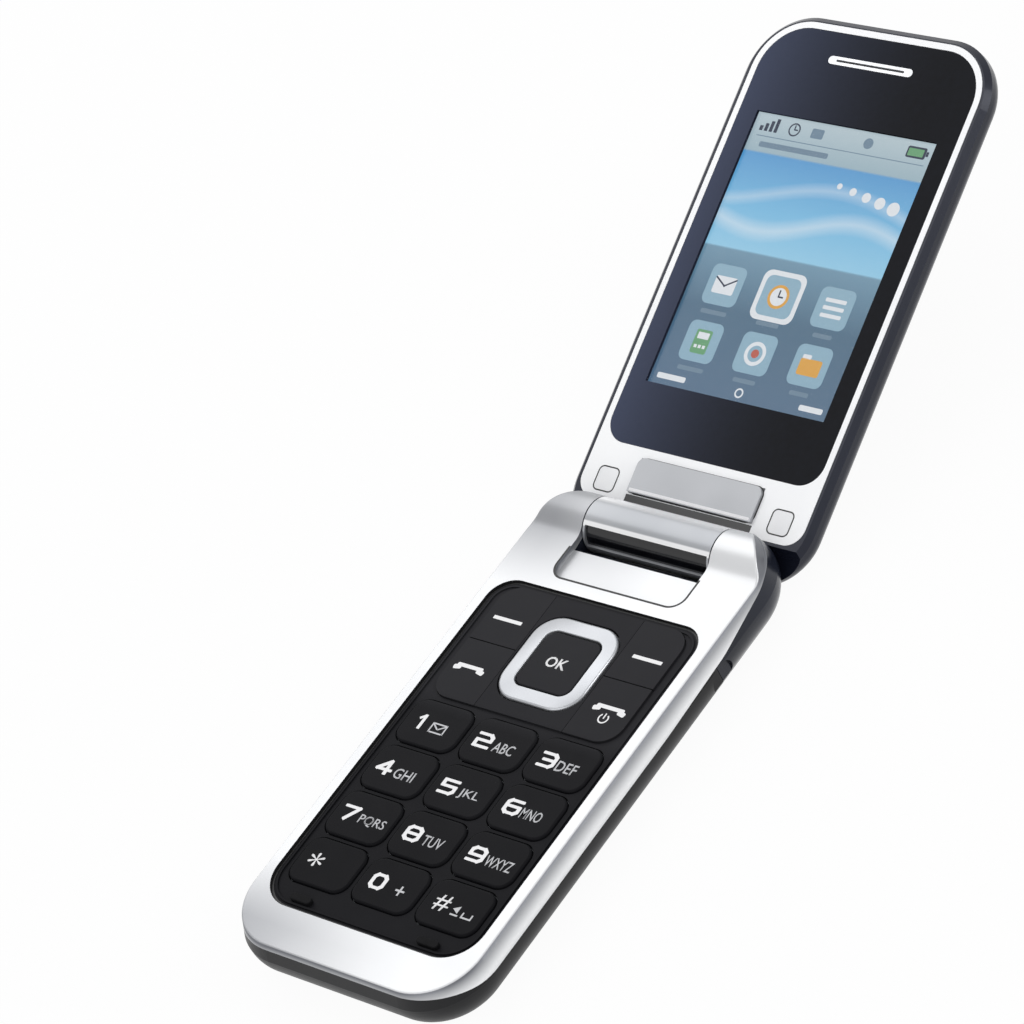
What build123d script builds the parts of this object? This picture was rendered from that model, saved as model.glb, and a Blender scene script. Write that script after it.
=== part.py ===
from build123d import *

import os
from math import asin, atan, cos, degrees, radians, sin, sqrt

# Clamshell phone, resting open on the flat underside of its base.
# X runs across the phone, Y along the base towards the hinge, Z up.
# The origin is the middle of the underside. Lengths are in millimetres, angles in degrees.

# ---------------------------------------------------------------- driving dimensions

# Whole phone
body_width = 51.8
base_length = 102.1
base_height = 10.2  # underside to the rim that the keypad sits in
lid_thickness = 6.2
closing_gap = 0.4  # between the two rims when the phone is shut
opening_angle = 158.5  # from shut to fully open

# Base casing
frame_wall = 1.7  # side wall of the silver frame
chassis_wall = 1.0
frame_rib = 0.8  # between the main board's space and the hinge recess
rim_skin = 1.3  # thickness of the silver face round the keypad
side_lean = 1.1  # how far the side leans in between its widest line and the rim
side_lean_height = 3.4
belly_radius = 6.2  # rounding of the casing's underside
free_corner = 11.5
hinge_corner = 13.0
rim_round = 0.4
free_seam_drop = 1.0  # rim down to the seam between silver frame and dark casing
side_seam_drop = 3.45
bend_seam_drop = 2.9
hinge_seam_drop = 0.7
free_seam_run = 10.0  # free end to where the seam levels out
rise_start = 41.05  # hinge end to where the seam starts to climb
rise_bend = 23.05
rise_end = 7.55
seam_bend = 30.0

# Keypad opening in the front frame
rim_width = 3.2  # opening to the widest line of the side
chin_length = 8.7  # free end to the opening
opening_low_corner = 6.8
opening_high_corner = 4.8

# Hinge
knuckle_radius = 4.9
hinge_drop = 2.5  # rim down to the hinge axis
ear_width = 11.95  # each side of the cut-out for the barrel
barrel_side_gap = 0.25
swing_gap = 0.4  # round the ears, inside the lid
ear_reach = 1.4  # lets the ears keep their round back where the casing's side leans in
heel_length = 2.4  # hinge axis back to the end of the flat underside
heel_angle = 250.0  # where the underside meets the round of the ears
sleeve_thickness = 0.45
ear_blend = 3.6
recess_depth = 1.2  # hinge recess in the rim, where the lid's hinge plate nests
recess_rim = 2.7  # between the keypad opening and the recess
recess_low_gap = 0.3  # hinge plate to the ends of the recess when the phone is shut
recess_high_gap = 0.1
recess_corner = 2.6
pin_radius = 1.5
pin_clearance = 0.05
pin_length = 12.5
cam_radius = 3.0
cam_length = 11.0
cam_shaft_radius = 1.7
cam_shaft_length = 13.5
pin_seat = 6.0  # length of each shaft held in its ear
cam_seat = 6.0

# Keypad
fit_gap = 0.1
web_thickness = 1.0
web_drop = 0.55  # rim down to the web between the keys
key_drop = 0.15  # rim down to the key tops
flange_width = 0.8
lip_inset = 0.9  # thin raised line round the web
lip_width = 0.35
lip_height = 0.25
membrane_thickness = 0.2
dome_height = 0.2
dome_gap = 0.05
dome_radius = 2.2
dome_sheet_thickness = 0.15
key_gap = 0.2
key_travel = 0.3
key_columns = 3
key_rows = 4
key_side_margin = 2.3  # opening's side to the number keys
key_low_margin = 5.05  # opening's low edge to the number keys
key_column_rib = 1.05
key_row_rib = 0.9
key_corner = 2.6
key_round = 0.45
function_margin = 2.65  # opening's side to the function keys
function_start = 1.1  # opening's top edge to the function keys
function_gap = 1.15  # function keys to the first row of number keys
function_length = 24.7
function_corner = 4.0
function_split = 13.4  # opening's top edge to the seam between soft key and call key
function_seam = 0.2
hairline = 0.1
ring_width = 17.9
ring_length = 18.1
ring_corner = 5.0
ring_centre = 13.65  # opening's top edge to the middle of the ring
ring_hole = 12.3
ring_round = 0.4
function_rib = 0.4  # of the bezel, between the ring and the function keys
ring_hole_corner = 2.2
ring_thickness = 1.0
ring_proud = 0.1
ring_gap = 0.3
ok_gap = 0.3
ok_drop = 0.15
ok_round = 0.25
rocker_thickness = 0.35
rocker_plate = 0.18
rocker_ridge = 0.15  # the ring tilts sideways on this ridge
rocker_width = 16.0
bumper_length = 4.6
bumper_width = 1.4
bumper_offset_x = 13.9
bumper_margin = 2.2  # opening's low edge to the bumpers
bumper_proud = 0.2

# Main board and what it carries
board_thickness = 0.9
board_side_margin = 3.4  # from the widest line of the side
board_low_margin = 4.6  # from the free end
board_high_gap = 0.9
board_notch = 2.7
board_corner = 8.0
screw_low_inset = 10.4  # screws behind the chin: from the side and from the free end
screw_low_margin = 4.7
screw_high_inset = 6.3  # screws beside the hinge: from the side and from the hinge end
screw_high_margin = 15.4
screw_shank = 0.75
screw_head = 1.5
screw_head_height = 1.0
screw_head_gap = 0.2
screw_slot = 0.8
screw_seat_z = 4.4  # head seat above the underside
screw_tip_z = 9.3
boss_radius = 2.2
boss_floor = 0.3  # from the screw seat down to the foot of its boss

# Battery bay and cover
cover_thickness = 1.2
cover_margin = 25.25  # hinge end to the seam between battery cover and rear housing
cover_gap = 0.1
nail_notch_radius = 2.8
nail_notch_depth = 0.8
nail_notch_z = 4.4
bay_wall = 0.8
bay_side_margin = 7.4  # from the widest line of the side
bay_low_margin = 6.8  # free end to the bay
bay_high_margin = 32.45  # hinge end to the bay
bay_roof = 0.8
chamber_side_margin = 9.4  # space beside the hinge for speaker and motor
chamber_wall = 1.75
battery_side_gap = 0.5
battery_cover_gap = 0.2
battery_corner = 1.5
bay_clearance = 0.15
contact_width = 7.0
contact_margin = 0.8  # bay's left wall to the contact block
contact_length = 2.4
contact_gap = 0.1
contact_sim_gap = 0.45
contact_height = 4.2
sim_margin = 0.4  # bay's right wall to the SIM socket
sim_width = 27.0
sim_length = 16.4
sim_height = 1.7
sim_card_width = 25.0
sim_card_length = 15.0
sim_card_thickness = 0.76
sim_window_width = 16.0
sim_cut = 3.0

# Socket, speaker, motor, microphone, antenna and volume key
usb_width = 7.6
usb_height = 2.6
usb_depth = 5.6
usb_margin = 20.85  # hinge end to the middle of the socket
usb_shell = 0.3
usb_tongue_length = 4.5
usb_tongue_width = 4.5
usb_inset = 0.4
usb_hole_clearance = 0.4
speaker_margin = 22.05  # hinge end to the middle of the speaker
speaker_radius = 7.0
speaker_top_gap = 0.45
speaker_motor_gap = 1.2
speaker_round = 0.4
speaker_slot_length = 8.0
speaker_slot_width = 0.8
speaker_slot_pitch = 2.0
speaker_slots = 4
motor_radius = 4.0
motor_drop = 0.3  # top of the motor below the top of the speaker
motor_wall_gap = 0.3
motor_margin = 21.45  # hinge end to the middle of the motor
shield_width = 24.0
shield_length = 10.0
shield_height = 1.4
shield_round = 0.3
microphone_radius = 2.0
microphone_height = 1.4
microphone_wall_gap = 0.2
microphone_margin = 20.05  # free end to the middle of the microphone
antenna_screw_gap = 3.5  # antenna to the middle of the screws behind the chin
antenna_length = 2.2
antenna_height = 2.6
volume_length = 13.0
volume_height = 1.7
volume_margin = 46.05  # hinge end to the middle of the key
volume_depth = 1.6
volume_drop = 2.0  # rim to the middle of the key
volume_proud = 0.15
volume_gap = 0.1

# Lid
lid_rim_width = 0.6  # flat edge outside the silver ring, before it slopes to the widest line
lid_pillow_radius = 3.3
lid_panel_rise = 0.8
lid_panel_side = 3.4
lid_panel_free = 4.6
lid_panel_hinge = 4.2
lid_panel_slope = 2.4
lid_panel_corner = 7.5
lid_free_corner = 11.5
lid_hinge_corner = 10.5
lid_overhang = 2.5  # how far the lid reaches past the hinge axis
lid_floor = 1.2
lid_wall = 1.9
lid_hollow_start = 12.0
lid_hollow_corner = 2.0
lid_rib_width = 1.2  # two ribs that carry the lid's board
lid_rib_x = 15.0
lid_free_end_wall = 1.2
inner_frame_thickness = 1.5
inner_frame_margin = 1.55  # lid edge to the silver frame
inner_frame_start = 5.0
inner_frame_low_corner = 3.5
silver_ring = 1.15  # silver frame left visible round the window
window_margin = 1.8  # hinge plate to the window
window_thickness = 0.6
window_drop = 0.05
window_low_corner = 4.4
display_side_margin = 3.25  # display to the window's edges
display_low_margin = 11.1
display_high_margin = 15.75
display_thickness = 1.7
display_ledge = 1.4  # of the backlight unit, all round the display
display_gap = 0.25
notch_gap = 0.05
plate_side_gap = 0.5
plate_offset = 0.4  # knuckle's neck to the plate
plate_length = 6.3
plate_rise = 0.65
plate_seat = 0.5
plate_corner = 1.4
neck_length = 6.9
neck_thickness = 2.5
sleeve_gap_start = 110.0  # bare band of the barrel, counted from the lid's plane
sleeve_gap_end = 158.0
sleeve_end = 236.0
sleeve_band_end = 0.4
shaft_chamfer = 0.3
shaft_end_gap = 0.15
plug_size = 4.3
plug_corner = 0.9
plug_thickness = 0.5
plug_x = 19.0
plug_s = 8.6  # distances in the lid are counted along it from the hinge axis
lid_screw_head = 1.5
lid_screw_head_height = 0.6
lid_screw_cover = 1.0  # left between the screw tips and the lid's outer side
earpiece_drop = 5.15  # window's free edge to the earpiece
earpiece_width = 18.0
earpiece_height = 1.5
earpiece_slit_width = 14.6
earpiece_slit_height = 0.4
earpiece_proud = 0.05
earpiece_depth = 0.9
receiver_width = 15.0
receiver_length = 7.0
receiver_corner = 1.0
camera_s = 7.6
camera_ring_width = 10.0
camera_ring_length = 10.4
camera_ring_corner = 3.4
camera_window_width = 7.3
camera_window_length = 7.6
camera_window_corner = 1.5
camera_window_thickness = 0.4
camera_window_drop = 0.35
camera_window_ledge = 0.5
camera_ring_depth = 1.3
camera_ring_bevel = 0.35
camera_size = 7.8
camera_lens_radius = 2.6
lid_board_start = 12.4
lid_board_gap = 0.3  # to the backlight unit
lid_board_depth = 2.2
lid_board_thickness = 0.6
lid_flex_width = 11.0
lid_flex_overlap = 2.0
lid_flex_thickness = 0.15

# ---------------------------------------------------------------- places worked out from them

half_width = body_width / 2
free_end = -base_length / 2
hinge_end = base_length / 2
widest_z = base_height - side_lean_height
lean_angle = degrees(atan(side_lean / side_lean_height))
lid_tilt = 180 - opening_angle

hinge_y = hinge_end - knuckle_radius
hinge_z = base_height - hinge_drop
well_width = body_width - 2 * ear_width
axis_to_lid = hinge_drop + closing_gap  # hinge axis to the lid's inner face
swing_radius = knuckle_radius + swing_gap
barrel_half = well_width / 2 - barrel_side_gap

plate_width = well_width - 2 * plate_side_gap
plate_start = neck_length + plate_offset
plate_end = plate_start + plate_length
recess_low_y = hinge_y - plate_end - recess_low_gap
recess_high_y = hinge_y - plate_start + recess_high_gap
opening_width = body_width - 2 * rim_width
opening_high_y = recess_low_y - recess_rim
opening_low_y = free_end + chin_length
opening_length = opening_high_y - opening_low_y
cover_high_y = hinge_end - cover_margin
skin_z = base_height - rim_skin
recess_z = base_height - recess_depth

key_top_z = base_height - key_drop
web_top_z = base_height - web_drop
web_low_z = web_top_z - web_thickness
membrane_low_z = web_low_z - membrane_thickness
board_top_z = membrane_low_z - dome_height - dome_sheet_thickness - dome_gap
board_low_z = board_top_z - board_thickness
cavity_high_y = recess_low_y - frame_rib
board_width = body_width - 2 * board_side_margin
board_low_y = free_end + board_low_margin
board_high_y = cavity_high_y - board_high_gap
key_low_z = web_low_z + key_travel + fit_gap

chassis_inset = cover_thickness + cover_gap
cavity_inset = chassis_inset + chassis_wall
bay_width = body_width - 2 * bay_side_margin
bay_low_y = free_end + bay_low_margin
bay_high_y = hinge_end - bay_high_margin
bay_centre_y = (bay_low_y + bay_high_y) / 2
bay_length = bay_high_y - bay_low_y
bay_roof_top_z = board_low_z - fit_gap
sim_x = bay_width / 2 - sim_margin - sim_width / 2
sim_y = bay_high_y - bay_clearance - sim_length / 2
contact_x = contact_margin + contact_width / 2 - bay_width / 2
contact_y = sim_y - sim_length / 2 - contact_sim_gap - contact_length / 2
battery_low_y = bay_low_y + bay_clearance
battery_high_y = contact_y - contact_length / 2 - contact_gap
battery_low_z = cover_thickness + battery_cover_gap
battery_high_z = bay_roof_top_z - bay_roof - bay_clearance

usb_y = hinge_end - usb_margin
usb_z = board_low_z - usb_height / 2
chamber_width = body_width - 2 * chamber_side_margin
chamber_low_y = bay_high_y + bay_wall
chamber_high_y = recess_high_y - chamber_wall
chamber_low_z = cavity_inset
motor_x = chamber_width / 2 - motor_wall_gap - motor_radius
motor_y = hinge_end - motor_margin
speaker_x = motor_x - motor_radius - speaker_motor_gap - speaker_radius
speaker_y = hinge_end - speaker_margin
speaker_height = board_low_z - shield_height - speaker_top_gap - chamber_low_z
motor_height = speaker_height - motor_drop
microphone_x = half_width - cavity_inset - microphone_wall_gap - microphone_radius
microphone_y = free_end + microphone_margin
volume_y = hinge_end - volume_margin

lid_length = hinge_y + hinge_end  # free ends meet when the phone is shut
inner_frame_half = half_width - inner_frame_margin
inner_frame_end = lid_length - lid_free_end_wall
window_half = inner_frame_half - silver_ring
window_start = plate_end + window_margin
window_end = inner_frame_end - silver_ring
window_high_corner = lid_free_corner - inner_frame_margin - silver_ring
lid_body_depth = lid_thickness - lid_panel_rise
lid_inside_depth = lid_body_depth - lid_floor
display_width = 2 * window_half - 2 * display_side_margin
display_start = window_start + display_low_margin
display_length = window_end - display_high_margin - display_start
display_middle = display_start + display_length / 2
backlight_width = display_width + 2 * display_ledge
lid_board_length = display_start - display_ledge - lid_board_gap - lid_board_start
earpiece_s = window_end - earpiece_drop

lid_frame = Plane(
    origin=(0, hinge_y, hinge_z),
    x_dir=(1, 0, 0),
    z_dir=(0, -sin(radians(lid_tilt)), cos(radians(lid_tilt))),
)

os.makedirs("parts", exist_ok=True)


def finish(piece, name):
    """Label a finished piece and write it as its own file."""
    piece.part.label = name
    export_step(piece.part, f"parts/{name}.step")


def rounded(plane, width, length, centre=(0, 0), corner=0.0):
    """Face of a rectangle with equal corners, on a plane."""
    with BuildSketch(plane) as face:
        with Locations(centre):
            Rectangle(width, length)
        if corner > 0:
            fillet(face.vertices(), corner)
    return face.sketch


def tapered_corners(plane, width, low, high, low_corner, high_corner):
    """Face of a rectangle whose two ends have corners of their own."""
    with BuildSketch(plane) as face:
        with Locations((0, (low + high) / 2)):
            Rectangle(width, high - low)
        fillet(face.vertices().group_by(Axis.Y)[0], low_corner)
        fillet(face.vertices().group_by(Axis.Y)[-1], high_corner)
    return face.sketch


def level(z):
    """Horizontal plane at a height above the underside."""
    return Plane.XY.offset(z)


def lid_level(depth):
    """Plane parallel to the lid's inner face, at a depth behind it."""
    return lid_frame.offset(-axis_to_lid - depth)


# ---------------------------------------------------------------- base casing


def casing_plan(z, inset):
    """Outline of the base at its widest line, or inset from it."""
    return tapered_corners(
        level(z),
        body_width - 2 * inset,
        free_end + inset,
        hinge_end + ear_reach - inset,
        free_corner - inset,
        hinge_corner - inset,
    )


def belly(inset):
    """Rounded lower casing, inset all round, up to its widest line."""
    with BuildPart() as shell:
        extrude(casing_plan(inset, inset), amount=widest_z - inset)
        fillet(shell.edges().group_by(Axis.Z)[0], belly_radius - inset)
    return shell.part


with BuildSketch(Plane.YZ) as side_profile:
    with BuildLine():
        heel = radians(heel_angle)
        Polyline(
            (free_end - 1, -1),
            (hinge_y - heel_length, -1),
            (hinge_y - heel_length, 0),
            (hinge_y + knuckle_radius * cos(heel), hinge_z + knuckle_radius * sin(heel)),
            (hinge_y, hinge_z),
            (hinge_y, base_height),
            (free_end - 1, base_height),
            close=True,
        )
    make_face()
    with Locations((hinge_y, hinge_z)):
        Circle(knuckle_radius)
    ear_foot = side_profile.vertices().sort_by_distance(
        (hinge_y - sqrt(knuckle_radius**2 - hinge_drop**2), base_height)
    )[0]
    fillet(ear_foot, ear_blend)

with BuildSketch(Plane.YZ) as above_seam:
    with BuildLine():
        seam = FilletPolyline(
            (free_end - 5, base_height - free_seam_drop),
            (free_end, base_height - free_seam_drop),
            (free_end + free_seam_run, base_height - side_seam_drop),
            (hinge_end - rise_start, base_height - side_seam_drop),
            (hinge_end - rise_bend, base_height - bend_seam_drop),
            (hinge_end - rise_end, base_height - hinge_seam_drop),
            (hinge_end + 5, base_height - hinge_seam_drop),
            radius=[6.0, seam_bend, seam_bend, seam_bend, seam_bend / 2],
        )
        Polyline(
            seam @ 1,
            (hinge_end + 5, 2 * base_height),
            (free_end - 5, 2 * base_height),
            seam @ 0,
        )
    make_face()

with BuildPart() as casing_form:
    add(belly(0))
    top_height = knuckle_radius + hinge_z - widest_z + 0.1
    extrude(casing_plan(widest_z, 0), amount=top_height, taper=lean_angle)
    extrude(side_profile.sketch, amount=body_width, both=True, mode=Mode.INTERSECT)

# Everything above the seam between the silver frame and the dark casing
with BuildPart() as upper_space:
    extrude(above_seam.sketch, amount=body_width, both=True)

# Space in the hinge well that the lid's barrel turns in
with BuildPart() as hinge_well:
    with Locations((0, hinge_y, hinge_z)):
        Cylinder(swing_radius, well_width, rotation=(0, 90, 0))
    well_low_y = recess_high_y
    extrude(
        rounded(
            level(hinge_z - hinge_drop / 2),
            well_width,
            hinge_y - well_low_y,
            (0, (hinge_y + well_low_y) / 2),
        ),
        amount=2 * base_height,
    )
    extrude(
        rounded(level(-1), well_width, 2 * knuckle_radius, (0, hinge_y + knuckle_radius)),
        amount=2 * base_height,
    )

# Bores for the two hinge shafts, one in each ear
with BuildPart() as shaft_bores:
    with BuildSketch(Plane.YZ.offset(-well_width / 2)):
        with Locations((hinge_y, hinge_z)):
            Circle(pin_radius)
    extrude(amount=-pin_seat)
    with BuildSketch(Plane.YZ.offset(well_width / 2)):
        with Locations((hinge_y, hinge_z)):
            Circle(cam_shaft_radius)
    extrude(amount=cam_seat)

low_screw_places = [
    (side * (half_width - screw_low_inset), free_end + screw_low_margin) for side in (-1, 1)
]
high_screw_places = [
    (side * (half_width - screw_high_inset), hinge_end - screw_high_margin) for side in (-1, 1)
]
screw_places = low_screw_places + high_screw_places

with BuildPart() as screw_holes:
    with Locations([(x, y, 0) for x, y in screw_places]):
        Cylinder(screw_shank, screw_tip_z, align=(Align.CENTER, Align.CENTER, Align.MIN))
        Cylinder(
            screw_head + screw_head_gap,
            screw_seat_z,
            align=(Align.CENTER, Align.CENTER, Align.MIN),
        )

with BuildPart() as front_frame:
    add(casing_form.part)
    add(upper_space.part, mode=Mode.INTERSECT)
    rim_edges = (
        front_frame.edges()
        .filter_by_position(Axis.Z, base_height - 0.01, base_height + 0.01)
        .filter_by_position(Axis.Y, free_end, hinge_y - knuckle_radius)
    )
    fillet(rim_edges, rim_round)
    with BuildSketch(level(0)):
        add(casing_plan(0, frame_wall))
        with Locations((0, cavity_high_y + base_length / 2)):
            Rectangle(2 * body_width, base_length, mode=Mode.SUBTRACT)
    extrude(amount=skin_z, mode=Mode.SUBTRACT)
    opening = tapered_corners(
        level(0), opening_width, opening_low_y, opening_high_y, opening_low_corner, opening_high_corner
    )
    extrude(opening, amount=2 * base_height, mode=Mode.SUBTRACT)
    recess_centre = (0, (recess_low_y + hinge_y) / 2)
    extrude(
        rounded(level(recess_z), well_width, hinge_y - recess_low_y, recess_centre),
        amount=base_height,
        mode=Mode.SUBTRACT,
    )
    recess_edges = (
        front_frame.edges()
        .filter_by(Axis.Z)
        .filter_by_position(Axis.Y, recess_low_y - 0.01, recess_low_y + 0.01)
    )
    fillet(recess_edges, recess_corner)
    add(hinge_well.part, mode=Mode.SUBTRACT)
    add(shaft_bores.part, mode=Mode.SUBTRACT)
    with Locations([(x, y, bay_roof_top_z) for x, y in low_screw_places]):
        Cylinder(boss_radius, skin_z - bay_roof_top_z, align=(Align.CENTER, Align.CENTER, Align.MIN))
    volume_z = base_height - volume_drop
    with BuildSketch(Plane.YZ.offset(-body_width)):
        with Locations((volume_y, volume_z)):
            SlotOverall(volume_length + 2 * volume_gap, volume_height + 2 * volume_gap)
    extrude(amount=body_width, mode=Mode.SUBTRACT)
    add(screw_holes.part, mode=Mode.SUBTRACT)
finish(front_frame, "front_frame")


def deep_casing(inset):
    """Lower casing with its side carried straight up, inset all round."""
    with BuildPart() as shell:
        add(belly(inset))
        extrude(casing_plan(widest_z, inset), amount=base_height - widest_z)
    return shell.part


def band(low_y, high_y):
    """Block that takes in everything between two places along the base."""
    with BuildPart() as block:
        with Locations((0, low_y, 0)):
            Box(
                3 * body_width,
                high_y - low_y,
                6 * base_height,
                align=(Align.CENTER, Align.MIN, Align.CENTER),
            )
    return block.part


with BuildPart() as nail_notch:
    with Locations((half_width - nail_notch_depth, cover_high_y, nail_notch_z)):
        Cylinder(
            nail_notch_radius,
            body_width,
            rotation=(0, 90, 0),
            align=(Align.CENTER, Align.CENTER, Align.MIN),
        )

# Inner part of the rear housing, which the battery cover wraps
with BuildPart() as chassis:
    add(deep_casing(chassis_inset))
    add(band(2 * free_end, cover_high_y + 1), mode=Mode.INTERSECT)

# Hollow above and around the battery bay
with BuildPart() as board_space:
    add(deep_casing(cavity_inset))
    add(band(2 * free_end, cavity_high_y), mode=Mode.INTERSECT)
    with Locations((0, bay_centre_y, bay_roof_top_z)):
        Box(
            bay_width + 2 * bay_wall,
            bay_length + 2 * bay_wall,
            base_height,
            align=(Align.CENTER, Align.CENTER, Align.MAX),
            mode=Mode.SUBTRACT,
        )

with BuildPart() as rear_housing:
    add(casing_form.part)
    add(band(cover_high_y, 2 * hinge_end), mode=Mode.INTERSECT)
    add(nail_notch.part, mode=Mode.SUBTRACT)
    add(chassis.part)
    add(upper_space.part, mode=Mode.SUBTRACT)
    add(board_space.part, mode=Mode.SUBTRACT)
    extrude(
        rounded(
            level(chamber_low_z),
            chamber_width,
            chamber_high_y - chamber_low_y,
            (0, (chamber_low_y + chamber_high_y) / 2),
        ),
        amount=bay_roof_top_z - chamber_low_z,
        mode=Mode.SUBTRACT,
    )
    extrude(
        rounded(level(0), bay_width, bay_length, (0, bay_centre_y)),
        amount=bay_roof_top_z - bay_roof,
        mode=Mode.SUBTRACT,
    )
    extrude(
        rounded(level(0), sim_width + 2 * fit_gap, sim_length + 2 * fit_gap, (sim_x, sim_y)),
        amount=base_height,
        mode=Mode.SUBTRACT,
    )
    extrude(
        rounded(
            level(0),
            contact_width + 2 * fit_gap,
            contact_length + 2 * fit_gap,
            (contact_x, contact_y),
        ),
        amount=base_height,
        mode=Mode.SUBTRACT,
    )
    with BuildSketch(Plane.YZ.offset(-half_width - 1)):
        with Locations((usb_y, usb_z)):
            RectangleRounded(
                usb_width + 2 * usb_hole_clearance, usb_height + 2 * usb_hole_clearance, usb_hole_clearance
            )
    extrude(amount=usb_depth + 2, mode=Mode.SUBTRACT)
    with Locations((speaker_x, speaker_y, 0)):
        with GridLocations(0, speaker_slot_pitch, 1, speaker_slots):
            Box(speaker_slot_length, speaker_slot_width, 2 * chamber_low_z, mode=Mode.SUBTRACT)
    add(hinge_well.part, mode=Mode.SUBTRACT)
    add(shaft_bores.part, mode=Mode.SUBTRACT)
    with Locations([(x, y, bay_roof_top_z) for x, y in low_screw_places]):
        Cylinder(
            boss_radius,
            bay_roof_top_z - screw_seat_z + boss_floor,
            align=(Align.CENTER, Align.CENTER, Align.MAX),
        )
    add(screw_holes.part, mode=Mode.SUBTRACT)
finish(rear_housing, "rear_housing")

with BuildPart() as battery_cover:
    add(casing_form.part)
    add(band(2 * free_end, cover_high_y - cover_gap), mode=Mode.INTERSECT)
    add(upper_space.part, mode=Mode.SUBTRACT)
    add(deep_casing(cover_thickness), mode=Mode.SUBTRACT)
    add(nail_notch.part, mode=Mode.SUBTRACT)
finish(battery_cover, "battery_cover")

volume_x = -half_width + (volume_z - widest_z) * side_lean / side_lean_height - volume_proud
with BuildPart() as volume_key:
    with BuildSketch(Plane.YZ.offset(volume_x)):
        with Locations((volume_y, volume_z)):
            SlotOverall(volume_length, volume_height)
    extrude(amount=volume_depth)
    fillet(volume_key.faces().sort_by(Axis.X)[0].edges(), volume_proud)
finish(volume_key, "volume_key")

# ---------------------------------------------------------------- keypad

function_outer = opening_width / 2 - function_margin
function_inner = ring_width / 2 + ring_gap + function_rib
function_high_y = opening_high_y - function_start
function_low_y = function_high_y - function_length
split_y = opening_high_y - function_split
ring_y = opening_high_y - ring_centre
bumper_y = opening_low_y + bumper_margin
ring_top_z = base_height + ring_proud
ring_low_z = ring_top_z - ring_thickness
rocker_low_z = ring_low_z - rocker_thickness
ok_size = ring_hole - 2 * ok_gap

key_width = (opening_width - 2 * key_side_margin - (key_columns - 1) * key_column_rib) / key_columns
first_row_top = function_low_y - function_gap
key_field = first_row_top - opening_low_y - key_low_margin
key_length = (key_field - (key_rows - 1) * key_row_rib) / key_rows
key_pitch_x = key_width + key_column_rib
key_pitch_y = key_length + key_row_rib

number_names = ["1", "2", "3", "4", "5", "6", "7", "8", "9", "star", "0", "hash"]
number_places = {
    name: (
        (index % key_columns - (key_columns - 1) / 2) * key_pitch_x,
        first_row_top - key_length / 2 - index // key_columns * key_pitch_y,
    )
    for index, name in enumerate(number_names)
}

# Function keys: low and high edge of each, and whether its outer corner is the large one
function_keys = {
    "soft_left": (-1, split_y + function_seam / 2, function_high_y),
    "soft_right": (1, split_y + function_seam / 2, function_high_y),
    "call": (-1, function_low_y, split_y - function_seam / 2),
    "end": (1, function_low_y, split_y - function_seam / 2),
}


def function_key_face(plane, side, low_y, high_y, grow=0.0):
    """Outline of a function key, grown for the hole that it moves in."""
    outer = function_outer + grow
    inner = function_inner - grow
    centre_x = side * (outer + inner) / 2
    with BuildSketch(plane) as face:
        with Locations((centre_x, (low_y + high_y) / 2)):
            Rectangle(outer - inner, high_y - low_y + 2 * grow)
        end_y = high_y + grow if high_y == function_high_y else low_y - grow
        outer_corner = face.vertices().sort_by_distance((side * outer, end_y))[0]
        fillet(outer_corner, function_corner + grow)
    return face.sketch


with BuildPart() as keypad_bezel:
    flange = tapered_corners(
        level(web_low_z),
        opening_width + 2 * flange_width,
        opening_low_y - flange_width,
        opening_high_y + flange_width,
        opening_low_corner + flange_width,
        opening_high_corner + flange_width,
    )
    extrude(flange, amount=skin_z - web_low_z)
    web = tapered_corners(
        level(web_low_z),
        opening_width - 2 * fit_gap,
        opening_low_y + fit_gap,
        opening_high_y - fit_gap,
        opening_low_corner - fit_gap,
        opening_high_corner - fit_gap,
    )
    extrude(web, amount=web_thickness)
    lip_outline = tapered_corners(
        level(web_top_z),
        opening_width - 2 * lip_inset,
        opening_low_y + lip_inset,
        opening_high_y - lip_inset,
        opening_low_corner - lip_inset,
        opening_high_corner - lip_inset,
    )
    lip_hole = tapered_corners(
        level(web_top_z),
        opening_width - 2 * lip_inset - 2 * lip_width,
        opening_low_y + lip_inset + lip_width,
        opening_high_y - lip_inset - lip_width,
        opening_low_corner - lip_inset - lip_width,
        opening_high_corner - lip_inset - lip_width,
    )
    extrude(lip_outline - lip_hole, amount=lip_height)
    extrude(
        rounded(
            level(web_low_z),
            2 * (function_inner - hairline),
            function_length,
            (0, function_high_y - function_length / 2),
        ),
        amount=key_top_z - web_low_z,
    )
    extrude(
        rounded(
            level(web_low_z),
            ring_width + 2 * ring_gap,
            ring_length + 2 * ring_gap,
            (0, ring_y),
            ring_corner + ring_gap,
        ),
        amount=base_height,
        mode=Mode.SUBTRACT,
    )
    for side, low_y, high_y in function_keys.values():
        extrude(
            function_key_face(level(web_low_z), side, low_y, high_y, hairline),
            amount=base_height,
            mode=Mode.SUBTRACT,
        )
    for place in number_places.values():
        hole_width = key_width + 2 * key_gap
        hole_length = key_length + 2 * key_gap
        extrude(
            rounded(level(web_low_z), hole_width, hole_length, place, key_corner + key_gap),
            amount=base_height,
            mode=Mode.SUBTRACT,
        )
finish(keypad_bezel, "keypad_bezel")

for name, place in number_places.items():
    with BuildPart() as number_key:
        extrude(
            rounded(level(key_low_z), key_width, key_length, place, key_corner),
            amount=key_top_z - key_low_z,
        )
        fillet(number_key.faces().sort_by(Axis.Z)[-1].edges(), key_round)
    finish(number_key, f"key_{name}")

for name, (side, low_y, high_y) in function_keys.items():
    with BuildPart() as function_key:
        extrude(function_key_face(level(key_low_z), side, low_y, high_y), amount=key_top_z - key_low_z)
    finish(function_key, f"key_{name}")

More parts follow.
